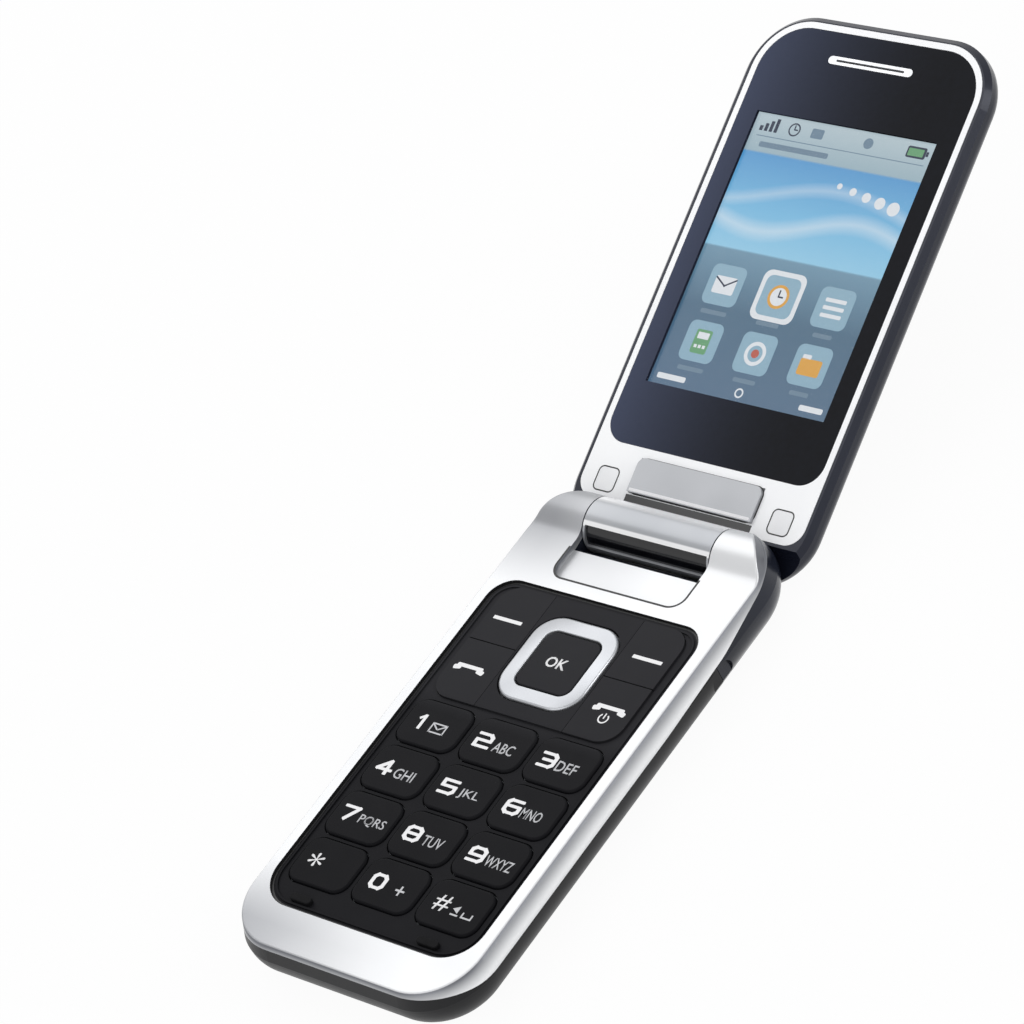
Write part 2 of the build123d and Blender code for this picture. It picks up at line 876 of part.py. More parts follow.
with BuildPart() as ok_key:
    ok_corner = ring_hole_corner - ok_gap
    ok_top_z = ring_top_z - ok_drop
    extrude(
        rounded(level(key_low_z), ok_size, ok_size, (0, ring_y), ok_corner),
        amount=ok_top_z - key_low_z,
    )
    fillet(ok_key.faces().sort_by(Axis.Z)[-1].edges(), ok_round)
finish(ok_key, "key_ok")

with BuildPart() as nav_ring:
    extrude(
        rounded(level(ring_low_z), ring_width, ring_length, (0, ring_y), ring_corner),
        amount=ring_thickness,
    )
    fillet(nav_ring.faces().sort_by(Axis.Z)[-1].edges(), ring_round)
    extrude(
        rounded(level(ring_low_z), ring_hole, ring_hole, (0, ring_y), ring_hole_corner),
        amount=ring_thickness,
        mode=Mode.SUBTRACT,
    )
    inner_rim = (
        nav_ring.edges()
        .filter_by_position(Axis.Z, ring_top_z - 0.001, ring_top_z + 0.001)
        .filter_by_position(Axis.X, -ring_hole / 2 - 0.01, ring_hole / 2 + 0.01)
        .filter_by_position(Axis.Y, ring_y - ring_hole / 2 - 0.01, ring_y + ring_hole / 2 + 0.01)
    )
    fillet(inner_rim, ring_round / 2)
finish(nav_ring, "nav_ring")

with BuildPart() as nav_rocker:
    extrude(
        rounded(level(rocker_low_z), rocker_width, rocker_width, (0, ring_y), ring_corner - ring_gap),
        amount=rocker_plate,
    )
    with Locations((0, ring_y, ring_low_z - rocker_ridge)):
        Cylinder(rocker_ridge, rocker_width - 2 * rocker_ridge, rotation=(90, 0, 0))
    extrude(
        rounded(level(rocker_low_z), ring_hole, ring_hole, (0, ring_y), ring_hole_corner),
        amount=rocker_thickness,
        mode=Mode.SUBTRACT,
    )
finish(nav_rocker, "nav_rocker")

with BuildPart() as keypad_bumpers:
    with BuildSketch(level(web_top_z)):
        with Locations((-bumper_offset_x, bumper_y), (bumper_offset_x, bumper_y)):
            SlotOverall(bumper_length, bumper_width)
    extrude(amount=base_height + bumper_proud - web_top_z)
    bumper_tops = keypad_bumpers.faces().filter_by_position(Axis.Z, base_height, 2 * base_height)
    fillet(bumper_tops.edges(), bumper_proud)
finish(keypad_bumpers, "keypad_bumpers")

membrane_width = opening_width + 2 * flange_width
membrane_low_y = opening_low_y - flange_width
membrane_high_y = opening_high_y + flange_width
dome_places = list(number_places.values())
dome_places += [
    (side * (function_outer + function_inner) / 2, (low + high) / 2)
    for side, low, high in function_keys.values()
]
dome_places += [(0, ring_y)]

with BuildPart() as keypad_membrane:
    extrude(
        tapered_corners(
            level(membrane_low_z),
            membrane_width,
            membrane_low_y,
            membrane_high_y,
            opening_low_corner + flange_width,
            opening_high_corner + flange_width,
        ),
        amount=membrane_thickness,
    )
finish(keypad_membrane, "keypad_membrane")

with BuildPart() as dome_sheet:
    dome_sheet_centre = (0, (membrane_low_y + membrane_high_y) / 2)
    extrude(
        rounded(
            level(board_top_z),
            opening_width,
            opening_length,
            dome_sheet_centre,
            opening_high_corner,
        ),
        amount=dome_sheet_thickness,
    )
    with Locations([(x, y, board_top_z + dome_sheet_thickness) for x, y in dome_places]):
        Cone(dome_radius, dome_radius / 2, dome_height, align=(Align.CENTER, Align.CENTER, Align.MIN))
finish(dome_sheet, "dome_sheet")

# ---------------------------------------------------------------- inside the base

with BuildPart() as main_board:
    board_centre_y = (board_low_y + board_high_y) / 2
    extrude(
        rounded(
            level(board_low_z),
            board_width,
            board_high_y - board_low_y,
            (0, board_centre_y),
            board_corner,
        ),
        amount=board_thickness,
    )
    with Locations([(x, y, board_low_z) for x, y in screw_places]):
        Cylinder(board_notch, 3 * board_thickness, mode=Mode.SUBTRACT)
finish(main_board, "main_board")

with BuildPart() as battery:
    battery_width = bay_width - 2 * battery_side_gap
    extrude(
        tapered_corners(
            level(battery_low_z),
            battery_width,
            battery_low_y,
            battery_high_y,
            battery_corner,
            battery_corner,
        ),
        amount=battery_high_z - battery_low_z,
    )
    fillet(battery.edges().group_by(Axis.Z)[0], battery_corner / 2)
finish(battery, "battery")

with BuildPart() as battery_contacts:
    extrude(
        rounded(level(board_low_z), contact_width, contact_length, (contact_x, contact_y)),
        amount=-contact_height,
    )
finish(battery_contacts, "battery_contacts")

with BuildPart() as sim_socket:
    card_z = board_low_z - sim_height / 2
    card_y = sim_y - (sim_length - sim_card_length) / 2 + bay_clearance
    extrude(rounded(level(board_low_z), sim_width, sim_length, (sim_x, sim_y)), amount=-sim_height)
    with Locations((sim_x, card_y, card_z)):
        Box(
            sim_card_width + 2 * fit_gap,
            sim_card_length + 2 * bay_clearance,
            sim_card_thickness + fit_gap,
            mode=Mode.SUBTRACT,
        )
    with Locations((sim_x, sim_y - sim_length / 4, board_low_z - sim_height)):
        Box(sim_window_width, sim_length / 2, sim_height, mode=Mode.SUBTRACT)
finish(sim_socket, "sim_socket")

with BuildPart() as sim_card:
    with Locations((sim_x, card_y, card_z)):
        Box(sim_card_width, sim_card_length, sim_card_thickness)
    chamfer(sim_card.edges().filter_by(Axis.Z).sort_by(Axis.Y)[-1], sim_cut)
finish(sim_card, "sim_card")

with BuildPart() as shield_can:
    shield_y = board_high_y - shield_length / 2 - fit_gap
    extrude(rounded(level(board_low_z), shield_width, shield_length, (0, shield_y)), amount=-shield_height)
    fillet(shield_can.edges().group_by(Axis.Z)[0], shield_round)
finish(shield_can, "shield_can")

with BuildPart() as usb_socket:
    usb_x = -half_width + usb_inset
    with BuildSketch(Plane.YZ.offset(usb_x)):
        with Locations((usb_y, usb_z)):
            RectangleRounded(usb_width, usb_height, usb_hole_clearance)
            RectangleRounded(
                usb_width - 2 * usb_shell,
                usb_height - 2 * usb_shell,
                usb_hole_clearance / 2,
                mode=Mode.SUBTRACT,
            )
    extrude(amount=usb_depth)
    with Locations((usb_x + usb_depth, usb_y, usb_z)):
        Box(
            usb_shell,
            usb_width - usb_shell,
            usb_height - usb_shell,
            align=(Align.MAX, Align.CENTER, Align.CENTER),
        )
    with Locations((usb_x + usb_depth, usb_y, usb_z)):
        Box(
            usb_tongue_length,
            usb_tongue_width,
            2 * usb_shell,
            align=(Align.MAX, Align.CENTER, Align.CENTER),
        )
finish(usb_socket, "usb_socket")

with BuildPart() as loudspeaker:
    with BuildSketch(level(chamber_low_z)):
        with Locations((speaker_x, speaker_y)):
            Circle(speaker_radius)
    extrude(amount=speaker_height)
    chamfer(loudspeaker.edges().group_by(Axis.Z)[-1], speaker_round)
finish(loudspeaker, "loudspeaker")

with BuildPart() as vibration_motor:
    with BuildSketch(level(chamber_low_z)):
        with Locations((motor_x, motor_y)):
            Circle(motor_radius)
    extrude(amount=motor_height)
finish(vibration_motor, "vibration_motor")

with BuildPart() as microphone:
    with BuildSketch(level(board_low_z)):
        with Locations((microphone_x, microphone_y)):
            Circle(microphone_radius)
    extrude(amount=-microphone_height)
finish(microphone, "microphone")

with BuildPart() as antenna:
    antenna_width = 2 * (half_width - screw_low_inset - antenna_screw_gap)
    antenna_y = bay_low_y - bay_wall - fit_gap - antenna_length / 2
    extrude(
        rounded(level(board_low_z), antenna_width, antenna_length, (0, antenna_y)),
        amount=-antenna_height,
    )
finish(antenna, "antenna")

with BuildPart() as base_screws:
    with Locations([(x, y, screw_seat_z) for x, y in screw_places]):
        Cylinder(
            screw_head,
            screw_head_height,
            align=(Align.CENTER, Align.CENTER, Align.MAX),
        )
        Cylinder(
            screw_shank,
            screw_tip_z - screw_seat_z,
            align=(Align.CENTER, Align.CENTER, Align.MIN),
        )
    with Locations([(x, y, screw_seat_z - screw_head_height) for x, y in screw_places]):
        Box(2 * screw_slot, screw_slot / 2, screw_slot, mode=Mode.SUBTRACT)
        Box(screw_slot / 2, 2 * screw_slot, screw_slot, mode=Mode.SUBTRACT)
finish(base_screws, "base_screws")

# ---------------------------------------------------------------- hinge

along_lid = (0, cos(radians(lid_tilt)), sin(radians(lid_tilt)))
barrel_radius = knuckle_radius - sleeve_thickness
pin_start_x = -well_width / 2 - pin_seat
pin_end_x = pin_start_x + pin_length
cam_shaft_start_x = well_width / 2 + cam_seat
cam_shaft_end_x = cam_shaft_start_x - cam_shaft_length
sleeve_start = -degrees(asin((axis_to_lid - fit_gap) / knuckle_radius))


def across(x):
    """Plane across the hinge axis, its first axis along the lid and its second out of the lid's face."""
    return Plane(origin=(x, hinge_y, hinge_z), x_dir=along_lid, z_dir=(1, 0, 0))


def disc(x, radius):
    """Round face about the hinge axis."""
    with BuildSketch(across(x)) as face:
        Circle(radius)
    return face.sketch


def sleeve_face(x, start, end):
    """Section of the sleeve between two angles counted from the lid's plane."""
    with BuildSketch(across(x)) as face:
        with BuildLine():
            inner = CenterArc((0, 0), barrel_radius, start, end - start)
            outer = CenterArc((0, 0), knuckle_radius, start, end - start)
            Line(inner @ 0, outer @ 0)
            Line(inner @ 1, outer @ 1)
        make_face()
    return face.sketch


with BuildPart() as hinge_pin:
    extrude(disc(pin_start_x, pin_radius), amount=pin_length)
    chamfer(hinge_pin.edges().group_by(Axis.X)[-1], shaft_chamfer)
finish(hinge_pin, "hinge_pin")

with BuildPart() as hinge_cam_shaft:
    extrude(disc(cam_shaft_start_x, cam_shaft_radius), amount=-cam_shaft_length)
    chamfer(hinge_cam_shaft.edges().group_by(Axis.X)[0], shaft_chamfer)
finish(hinge_cam_shaft, "hinge_cam_shaft")

with BuildPart() as hinge_knuckle:
    with BuildSketch(across(-barrel_half)):
        Circle(barrel_radius)
        with Locations((0, -axis_to_lid)):
            Rectangle(neck_length, neck_thickness, align=(Align.MIN, Align.MAX))
    extrude(amount=2 * barrel_half)
    pin_bore_depth = pin_end_x + barrel_half + shaft_end_gap
    extrude(disc(-barrel_half, pin_radius + pin_clearance), amount=pin_bore_depth, mode=Mode.SUBTRACT)
    extrude(disc(barrel_half, cam_radius), amount=-cam_length, mode=Mode.SUBTRACT)
finish(hinge_knuckle, "hinge_knuckle")

with BuildPart() as hinge_cam_module:
    extrude(disc(barrel_half, cam_radius), amount=-cam_length)
    cam_bore_depth = barrel_half - cam_shaft_end_x + shaft_end_gap
    extrude(disc(barrel_half, cam_shaft_radius + pin_clearance), amount=-cam_bore_depth, mode=Mode.SUBTRACT)
finish(hinge_cam_module, "hinge_cam_module")

with BuildPart() as hinge_sleeve:
    extrude(sleeve_face(-barrel_half, sleeve_start, sleeve_gap_start), amount=2 * barrel_half)
    extrude(sleeve_face(-barrel_half, sleeve_gap_end, sleeve_end), amount=2 * barrel_half)
    extrude(sleeve_face(-barrel_half, sleeve_start, sleeve_end), amount=sleeve_band_end)
    extrude(sleeve_face(barrel_half, sleeve_start, sleeve_end), amount=-sleeve_band_end)
finish(hinge_sleeve, "hinge_sleeve")

# ---------------------------------------------------------------- lid

lid_normal = Axis(lid_frame.origin, lid_frame.z_dir)
lid_bevel = inner_frame_margin - lid_rim_width
inner_frame_high_corner = lid_free_corner - inner_frame_margin
window_back = window_drop + window_thickness
display_top = window_back + window_drop
display_back = display_top + display_thickness
ring_seat = lid_thickness - camera_ring_depth
camera_window_back = lid_thickness - camera_window_drop - camera_window_thickness
camera_top = neck_thickness + fit_gap
neck_notch_length = neck_length + notch_gap + lid_overhang
plug_back = plug_thickness + notch_gap
screw_seat_depth = plug_back + lid_screw_head_height + notch_gap
screw_tip_depth = lid_body_depth - lid_screw_cover
plug_places = [(-plug_x, plug_s), (plug_x, plug_s)]


def panel_outline(depth, inset):
    """Outline of the raised panel on the lid's outer side, or inset from it."""
    return tapered_corners(
        lid_level(depth),
        body_width - 2 * lid_panel_side - 2 * inset,
        lid_panel_hinge - lid_overhang + inset,
        lid_length - lid_panel_free - inset,
        lid_panel_corner - inset,
        lid_panel_corner - inset,
    )


def frame_outline(depth, grow):
    """Outline of the lid's inner frame, or grown by a clearance."""
    return tapered_corners(
        lid_level(depth),
        2 * (inner_frame_half + grow),
        inner_frame_start - grow,
        inner_frame_end + grow,
        inner_frame_low_corner + grow,
        inner_frame_high_corner + grow,
    )


def window_outline(depth, grow):
    """Outline of the window's seat, or grown by a clearance."""
    return tapered_corners(
        lid_level(depth),
        2 * (window_half + grow),
        window_start - grow,
        window_end + grow,
        window_low_corner + grow,
        window_high_corner + grow,
    )


def neck_notch(depth):
    """Outline of the cut that the knuckle's neck lies in."""
    centre = (0, neck_length + notch_gap - neck_notch_length / 2)
    return rounded(lid_level(depth), 2 * (barrel_half + notch_gap), neck_notch_length, centre)


def capsule(depth, width, height):
    """Long round-ended face at the earpiece."""
    with BuildSketch(lid_level(depth)) as face:
        with Locations((0, earpiece_s)):
            SlotOverall(width, height)
    return face.sketch


def rounds(depth, radius):
    """Round faces at the two lid screws."""
    with BuildSketch(lid_level(depth)) as face:
        with Locations(plug_places):
            Circle(radius)
    return face.sketch


def plugs(depth, grow):
    """Faces of the two screw plugs, or grown by a clearance."""
    with BuildSketch(lid_level(depth)) as face:
        with Locations(plug_places):
            RectangleRounded(plug_size + 2 * grow, plug_size + 2 * grow, plug_corner)
    return face.sketch


def camera_face(depth, width, length, corner):
    """Rounded rectangle at the camera."""
    return rounded(lid_level(depth), width, length, (0, camera_s), corner)


with BuildPart() as lid_cover:
    extrude(
        tapered_corners(
            lid_level(lid_body_depth),
            body_width,
            -lid_overhang,
            lid_length,
            lid_hinge_corner,
            lid_free_corner,
        ),
        amount=lid_body_depth,
    )
    fillet(lid_cover.edges().group_by(lid_normal)[0], lid_pillow_radius)
    chamfer(lid_cover.edges().group_by(lid_normal)[-1], lid_bevel)
    loft([panel_outline(lid_body_depth, 0), panel_outline(lid_thickness, lid_panel_slope)])
    extrude(disc(-body_width, swing_radius), amount=2 * body_width, mode=Mode.SUBTRACT)
    extrude(neck_notch(neck_thickness + notch_gap), amount=lid_thickness, mode=Mode.SUBTRACT)
    extrude(frame_outline(inner_frame_thickness, notch_gap), amount=lid_thickness, mode=Mode.SUBTRACT)
    extrude(
        tapered_corners(
            lid_level(lid_inside_depth),
            body_width - 2 * lid_wall,
            lid_hollow_start,
            lid_length - lid_wall,
            lid_hollow_corner,
            lid_free_corner - lid_wall,
        ),
        amount=lid_thickness,
        mode=Mode.SUBTRACT,
    )
    flex_channel_length = lid_hollow_start - neck_length + notch_gap
    extrude(
        rounded(
            lid_level(lid_board_depth + fit_gap),
            lid_flex_width + 2 * fit_gap,
            flex_channel_length,
            (0, neck_length + flex_channel_length / 2),
        ),
        amount=lid_thickness,
        mode=Mode.SUBTRACT,
    )
    camera_pocket = camera_size + 2 * fit_gap
    extrude(camera_face(ring_seat, camera_pocket, camera_pocket, 0), amount=lid_thickness, mode=Mode.SUBTRACT)
    extrude(
        camera_face(
            ring_seat,
            camera_ring_width + 2 * notch_gap,
            camera_ring_length + 2 * notch_gap,
            camera_ring_corner + notch_gap,
        ),
        amount=-lid_thickness,
        mode=Mode.SUBTRACT,
    )
    extrude(rounds(screw_tip_depth, screw_shank), amount=lid_thickness, mode=Mode.SUBTRACT)
    with BuildSketch(lid_level(lid_inside_depth)):
        with Locations((-lid_rib_x, lid_hollow_start), (lid_rib_x, lid_hollow_start)):
            rib_length = lid_board_start + lid_board_length - lid_hollow_start
            Rectangle(lid_rib_width, rib_length, align=(Align.CENTER, Align.MIN))
    extrude(amount=lid_inside_depth - lid_board_depth - lid_board_thickness)
finish(lid_cover, "lid_cover")

with BuildPart() as lid_inner_frame:
    extrude(frame_outline(inner_frame_thickness, 0), amount=inner_frame_thickness)
    extrude(window_outline(window_back, 0), amount=window_back, mode=Mode.SUBTRACT)
    extrude(neck_notch(inner_frame_thickness), amount=inner_frame_thickness, mode=Mode.SUBTRACT)
    extrude(
        rounded(
            lid_level(inner_frame_thickness),
            display_width + 2 * display_gap,
            display_length + 2 * display_gap,
            (0, display_middle),
        ),
        amount=inner_frame_thickness,
        mode=Mode.SUBTRACT,
    )
    extrude(
        rounded(
            lid_level(plate_seat),
            plate_width + 2 * notch_gap,
            plate_length + 2 * notch_gap,
            (0, (plate_start + plate_end) / 2),
        ),
        amount=plate_seat,
        mode=Mode.SUBTRACT,
    )
    extrude(plugs(plug_back, notch_gap), amount=plug_back, mode=Mode.SUBTRACT)
    extrude(
        rounds(screw_seat_depth, lid_screw_head + fit_gap),
        amount=screw_seat_depth,
        mode=Mode.SUBTRACT,
    )
    extrude(
        rounds(inner_frame_thickness, screw_shank + fit_gap),
        amount=inner_frame_thickness,
        mode=Mode.SUBTRACT,
    )
    grille_back = earpiece_depth - earpiece_proud + notch_gap
    grille_seat_width = earpiece_width + 2 * notch_gap
    grille_seat_height = earpiece_height + 2 * notch_gap
    extrude(capsule(grille_back, grille_seat_width, grille_seat_height), amount=grille_back, mode=Mode.SUBTRACT)
    extrude(
        capsule(inner_frame_thickness, earpiece_slit_width, earpiece_height / 2),
        amount=inner_frame_thickness,
        mode=Mode.SUBTRACT,
    )
finish(lid_inner_frame, "lid_inner_frame")

with BuildPart() as display_window:
    extrude(window_outline(window_back, -notch_gap), amount=window_thickness)
    extrude(
        capsule(window_back, grille_seat_width, grille_seat_height),
        amount=window_thickness,
        mode=Mode.SUBTRACT,
    )
finish(display_window, "display_window")

with BuildPart() as display_panel:
    extrude(
        rounded(lid_level(display_back), display_width, display_length, (0, display_middle)),
        amount=display_thickness,
    )
finish(display_panel, "display_panel")

with BuildPart() as backlight_unit:
    backlight_top = display_back + fit_gap
    extrude(
        rounded(
            lid_level(lid_inside_depth - fit_gap),
            backlight_width,
            display_length + 2 * display_ledge,
            (0, display_middle),
            display_ledge,
        ),
        amount=lid_inside_depth - fit_gap - backlight_top,
    )
finish(backlight_unit, "backlight_unit")

with BuildPart() as lid_board:
    extrude(
        rounded(
            lid_level(lid_board_depth + lid_board_thickness),
            backlight_width,
            lid_board_length,
            (0, lid_board_start + lid_board_length / 2),
        ),
        amount=lid_board_thickness,
    )
finish(lid_board, "lid_board")

with BuildPart() as lid_flex:
    lid_flex_start = neck_length + 2 * notch_gap
    lid_flex_length = lid_board_start + lid_flex_overlap - lid_flex_start
    extrude(
        rounded(
            lid_level(lid_board_depth),
            lid_flex_width,
            lid_flex_length,
            (0, lid_flex_start + lid_flex_length / 2),
        ),
        amount=lid_flex_thickness,
    )
finish(lid_flex, "lid_flex")

with BuildPart() as earpiece_grille:
    extrude(capsule(earpiece_depth - earpiece_proud, earpiece_width, earpiece_height), amount=earpiece_depth)
    extrude(
        capsule(earpiece_depth, earpiece_slit_width, earpiece_slit_height),
        amount=2 * earpiece_depth,
        mode=Mode.SUBTRACT,
    )
finish(earpiece_grille, "earpiece_grille")

with BuildPart() as earpiece_speaker:
    receiver_back = lid_inside_depth - fit_gap
    extrude(
        rounded(
            lid_level(receiver_back),
            receiver_width,
            receiver_length,
            (0, earpiece_s),
            receiver_corner,
        ),
        amount=receiver_back - inner_frame_thickness - fit_gap,
    )
finish(earpiece_speaker, "earpiece_speaker")

with BuildPart() as camera_ring:
    extrude(
        camera_face(ring_seat, camera_ring_width, camera_ring_length, camera_ring_corner),
        amount=-camera_ring_depth,
    )
    chamfer(camera_ring.edges().group_by(lid_normal)[0], camera_ring_bevel)
    extrude(
        camera_face(
            camera_window_back,
            camera_window_width + 2 * notch_gap,
            camera_window_length + 2 * notch_gap,
            camera_window_corner,
        ),
        amount=-lid_thickness,
        mode=Mode.SUBTRACT,
    )
    extrude(
        camera_face(
            ring_seat,
            camera_window_width - 2 * camera_window_ledge,
            camera_window_length - 2 * camera_window_ledge,
            camera_window_corner - camera_window_ledge,
        ),
        amount=-lid_thickness,
        mode=Mode.SUBTRACT,
    )
finish(camera_ring, "camera_ring")

with BuildPart() as camera_window:
    extrude(
        camera_face(camera_window_back, camera_window_width, camera_window_length, camera_window_corner),
        amount=-camera_window_thickness,
    )
finish(camera_window, "camera_window")

with BuildPart() as camera_module:
    camera_back = ring_seat - fit_gap
    extrude(camera_face(camera_back, camera_size, camera_size, 0), amount=camera_back - camera_top)
    with BuildSketch(lid_level(camera_back)):
        with Locations((0, camera_s)):
            Circle(camera_lens_radius)
    extrude(amount=-(camera_window_back - notch_gap - camera_back))
finish(camera_module, "camera_module")

with BuildPart() as hinge_plate:
    extrude(
        rounded(
            lid_level(plate_seat),
            plate_width,
            plate_length,
            (0, (plate_start + plate_end) / 2),
        ),
        amount=plate_seat + plate_rise,
    )
    plate_corners = hinge_plate.edges().filter_by(lid_normal)
    fillet(plate_corners.group_by(Axis.Y)[-1], plate_corner)
finish(hinge_plate, "hinge_plate")

with BuildPart() as screw_plugs:
    extrude(plugs(plug_thickness, 0), amount=plug_thickness)
finish(screw_plugs, "screw_plugs")

with BuildPart() as lid_screws:
    extrude(rounds(screw_seat_depth, lid_screw_head), amount=lid_screw_head_height)
    extrude(rounds(screw_tip_depth, screw_shank), amount=screw_tip_depth - screw_seat_depth)
finish(lid_screws, "lid_screws")
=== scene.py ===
import math

import bmesh
import bpy
from mathutils import Euler, Matrix, Vector


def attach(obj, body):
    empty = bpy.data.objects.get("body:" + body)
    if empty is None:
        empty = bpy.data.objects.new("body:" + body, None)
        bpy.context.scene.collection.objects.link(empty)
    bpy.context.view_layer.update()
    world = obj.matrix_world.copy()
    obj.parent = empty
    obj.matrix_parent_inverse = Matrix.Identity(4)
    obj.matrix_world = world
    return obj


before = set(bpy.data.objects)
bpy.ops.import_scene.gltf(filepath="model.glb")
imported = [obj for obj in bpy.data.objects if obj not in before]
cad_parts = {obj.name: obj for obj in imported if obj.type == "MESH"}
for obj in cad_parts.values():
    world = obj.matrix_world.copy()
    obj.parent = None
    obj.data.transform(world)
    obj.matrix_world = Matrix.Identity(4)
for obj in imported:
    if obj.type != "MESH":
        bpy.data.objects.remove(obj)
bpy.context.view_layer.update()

print("casing loaded:", len(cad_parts), "nodes")

mm = 0.001
lidTilt = math.radians(21.5)
hingeAxis = Vector((0, 46.15, 7.7)) * mm
axisLift = 2.9  # barrel's axis above the lid's inner face
lidAlong = Vector((0, math.cos(lidTilt), math.sin(lidTilt)))
lidOut = Vector((0, -math.sin(lidTilt), math.cos(lidTilt)))
lidFace = hingeAxis - lidOut * axisLift * mm

# local x across the phone, y along the lid, z out of the lid's inner face
lidFrame = Matrix.Translation(lidFace) @ Matrix(((1, 0, 0), lidAlong, lidOut)).transposed().to_4x4()


def srgb(red, green, blue):
    def linear(value):
        value = value / 255
        return value / 12.92 if value <= 0.04045 else ((value + 0.055) / 1.055) ** 2.4
    return (linear(red), linear(green), linear(blue), 1.0)


class Wire:
    # a socket that can be used in sums
    def __init__(self, tree, socket):
        self.tree = tree
        self.socket = socket

    def calc(self, operation, first, second=0.0):
        node = self.tree.nodes.new("ShaderNodeMath")
        node.operation = operation
        for slot, value in zip(node.inputs, (first, second)):
            if isinstance(value, Wire):
                self.tree.links.new(value.socket, slot)
            else:
                slot.default_value = value
        return Wire(self.tree, node.outputs[0])

    def __add__(self, other):
        return self.calc("ADD", self, other)

    def __radd__(self, other):
        return self.calc("ADD", other, self)

    def __sub__(self, other):
        return self.calc("SUBTRACT", self, other)

    def __rsub__(self, other):
        return self.calc("SUBTRACT", other, self)

    def __mul__(self, other):
        return self.calc("MULTIPLY", self, other)

    def __rmul__(self, other):
        return self.calc("MULTIPLY", other, self)

    def __truediv__(self, other):
        return self.calc("DIVIDE", self, other)

    def __gt__(self, other):
        return self.calc("GREATER_THAN", self, other)

    def __lt__(self, other):
        return self.calc("LESS_THAN", self, other)

    def __abs__(self):
        return self.calc("ABSOLUTE", self)

    def sine(self):
        return self.calc("SINE", self)

    def capped(self):
        return self.calc("MINIMUM", self.calc("MAXIMUM", self, 0.0), 1.0)

    def climb(self, start, stop):
        # 0 at start, 1 at stop
        return ((self - start) / (stop - start)).capped()


class Skin:
    # a material, or a world, and the nodes that make it
    def __init__(self, name, world=None):
        self.material = world or bpy.data.materials.new(name)
        self.material.use_nodes = True
        self.tree = self.material.node_tree
        self.tree.nodes.clear()

    def make(self, kind, settings=None, inputs=None, output=0):
        node = self.tree.nodes.new(kind)
        for key, value in (settings or {}).items():
            if key == "stops":
                ramp = node.color_ramp.elements
                while len(ramp) < len(value):
                    ramp.new(0.5)
                for element, (place, colour) in zip(ramp, value):
                    element.position = place
                    element.color = colour
            else:
                setattr(node, key, value)
        for key, value in (inputs or {}).items():
            if isinstance(value, Wire):
                self.tree.links.new(value.socket, node.inputs[key])
            else:
                node.inputs[key].default_value = value
        return Wire(self.tree, node.outputs[output]) if len(node.outputs) else None

    def place(self):
        return self.make("ShaderNodeTexCoord", output="Object")

    def axes(self, where=None):
        split = self.tree.nodes.new("ShaderNodeSeparateXYZ")
        self.tree.links.new((where or self.place()).socket, split.inputs[0])
        return [Wire(self.tree, socket) for socket in split.outputs]

    def lidAxes(self):
        x, y, z = self.axes()
        s = (y - hingeAxis.y) * lidAlong.y + (z - hingeAxis.z) * lidAlong.z
        return x, s

    def noise(self, scale, detail=2.0, where=None):
        return self.make("ShaderNodeTexNoise", None,
                         {"Vector": where or self.place(), "Scale": scale, "Detail": detail})

    def blend(self, factor, low, high):
        return self.make("ShaderNodeMix", {"data_type": "RGBA"},
                         {"Factor": factor, 6: low, 7: high}, 2)

    def bump(self, height, strength, distance, under=None):
        inputs = {"Strength": strength, "Distance": distance, "Height": height}
        if under:
            inputs["Normal"] = under
        return self.make("ShaderNodeBump", None, inputs)

    def surface(self, inputs):
        shader = self.make("ShaderNodeBsdfPrincipled", None, inputs)
        self.make("ShaderNodeOutputMaterial", None, {"Surface": shader})
        return self.material


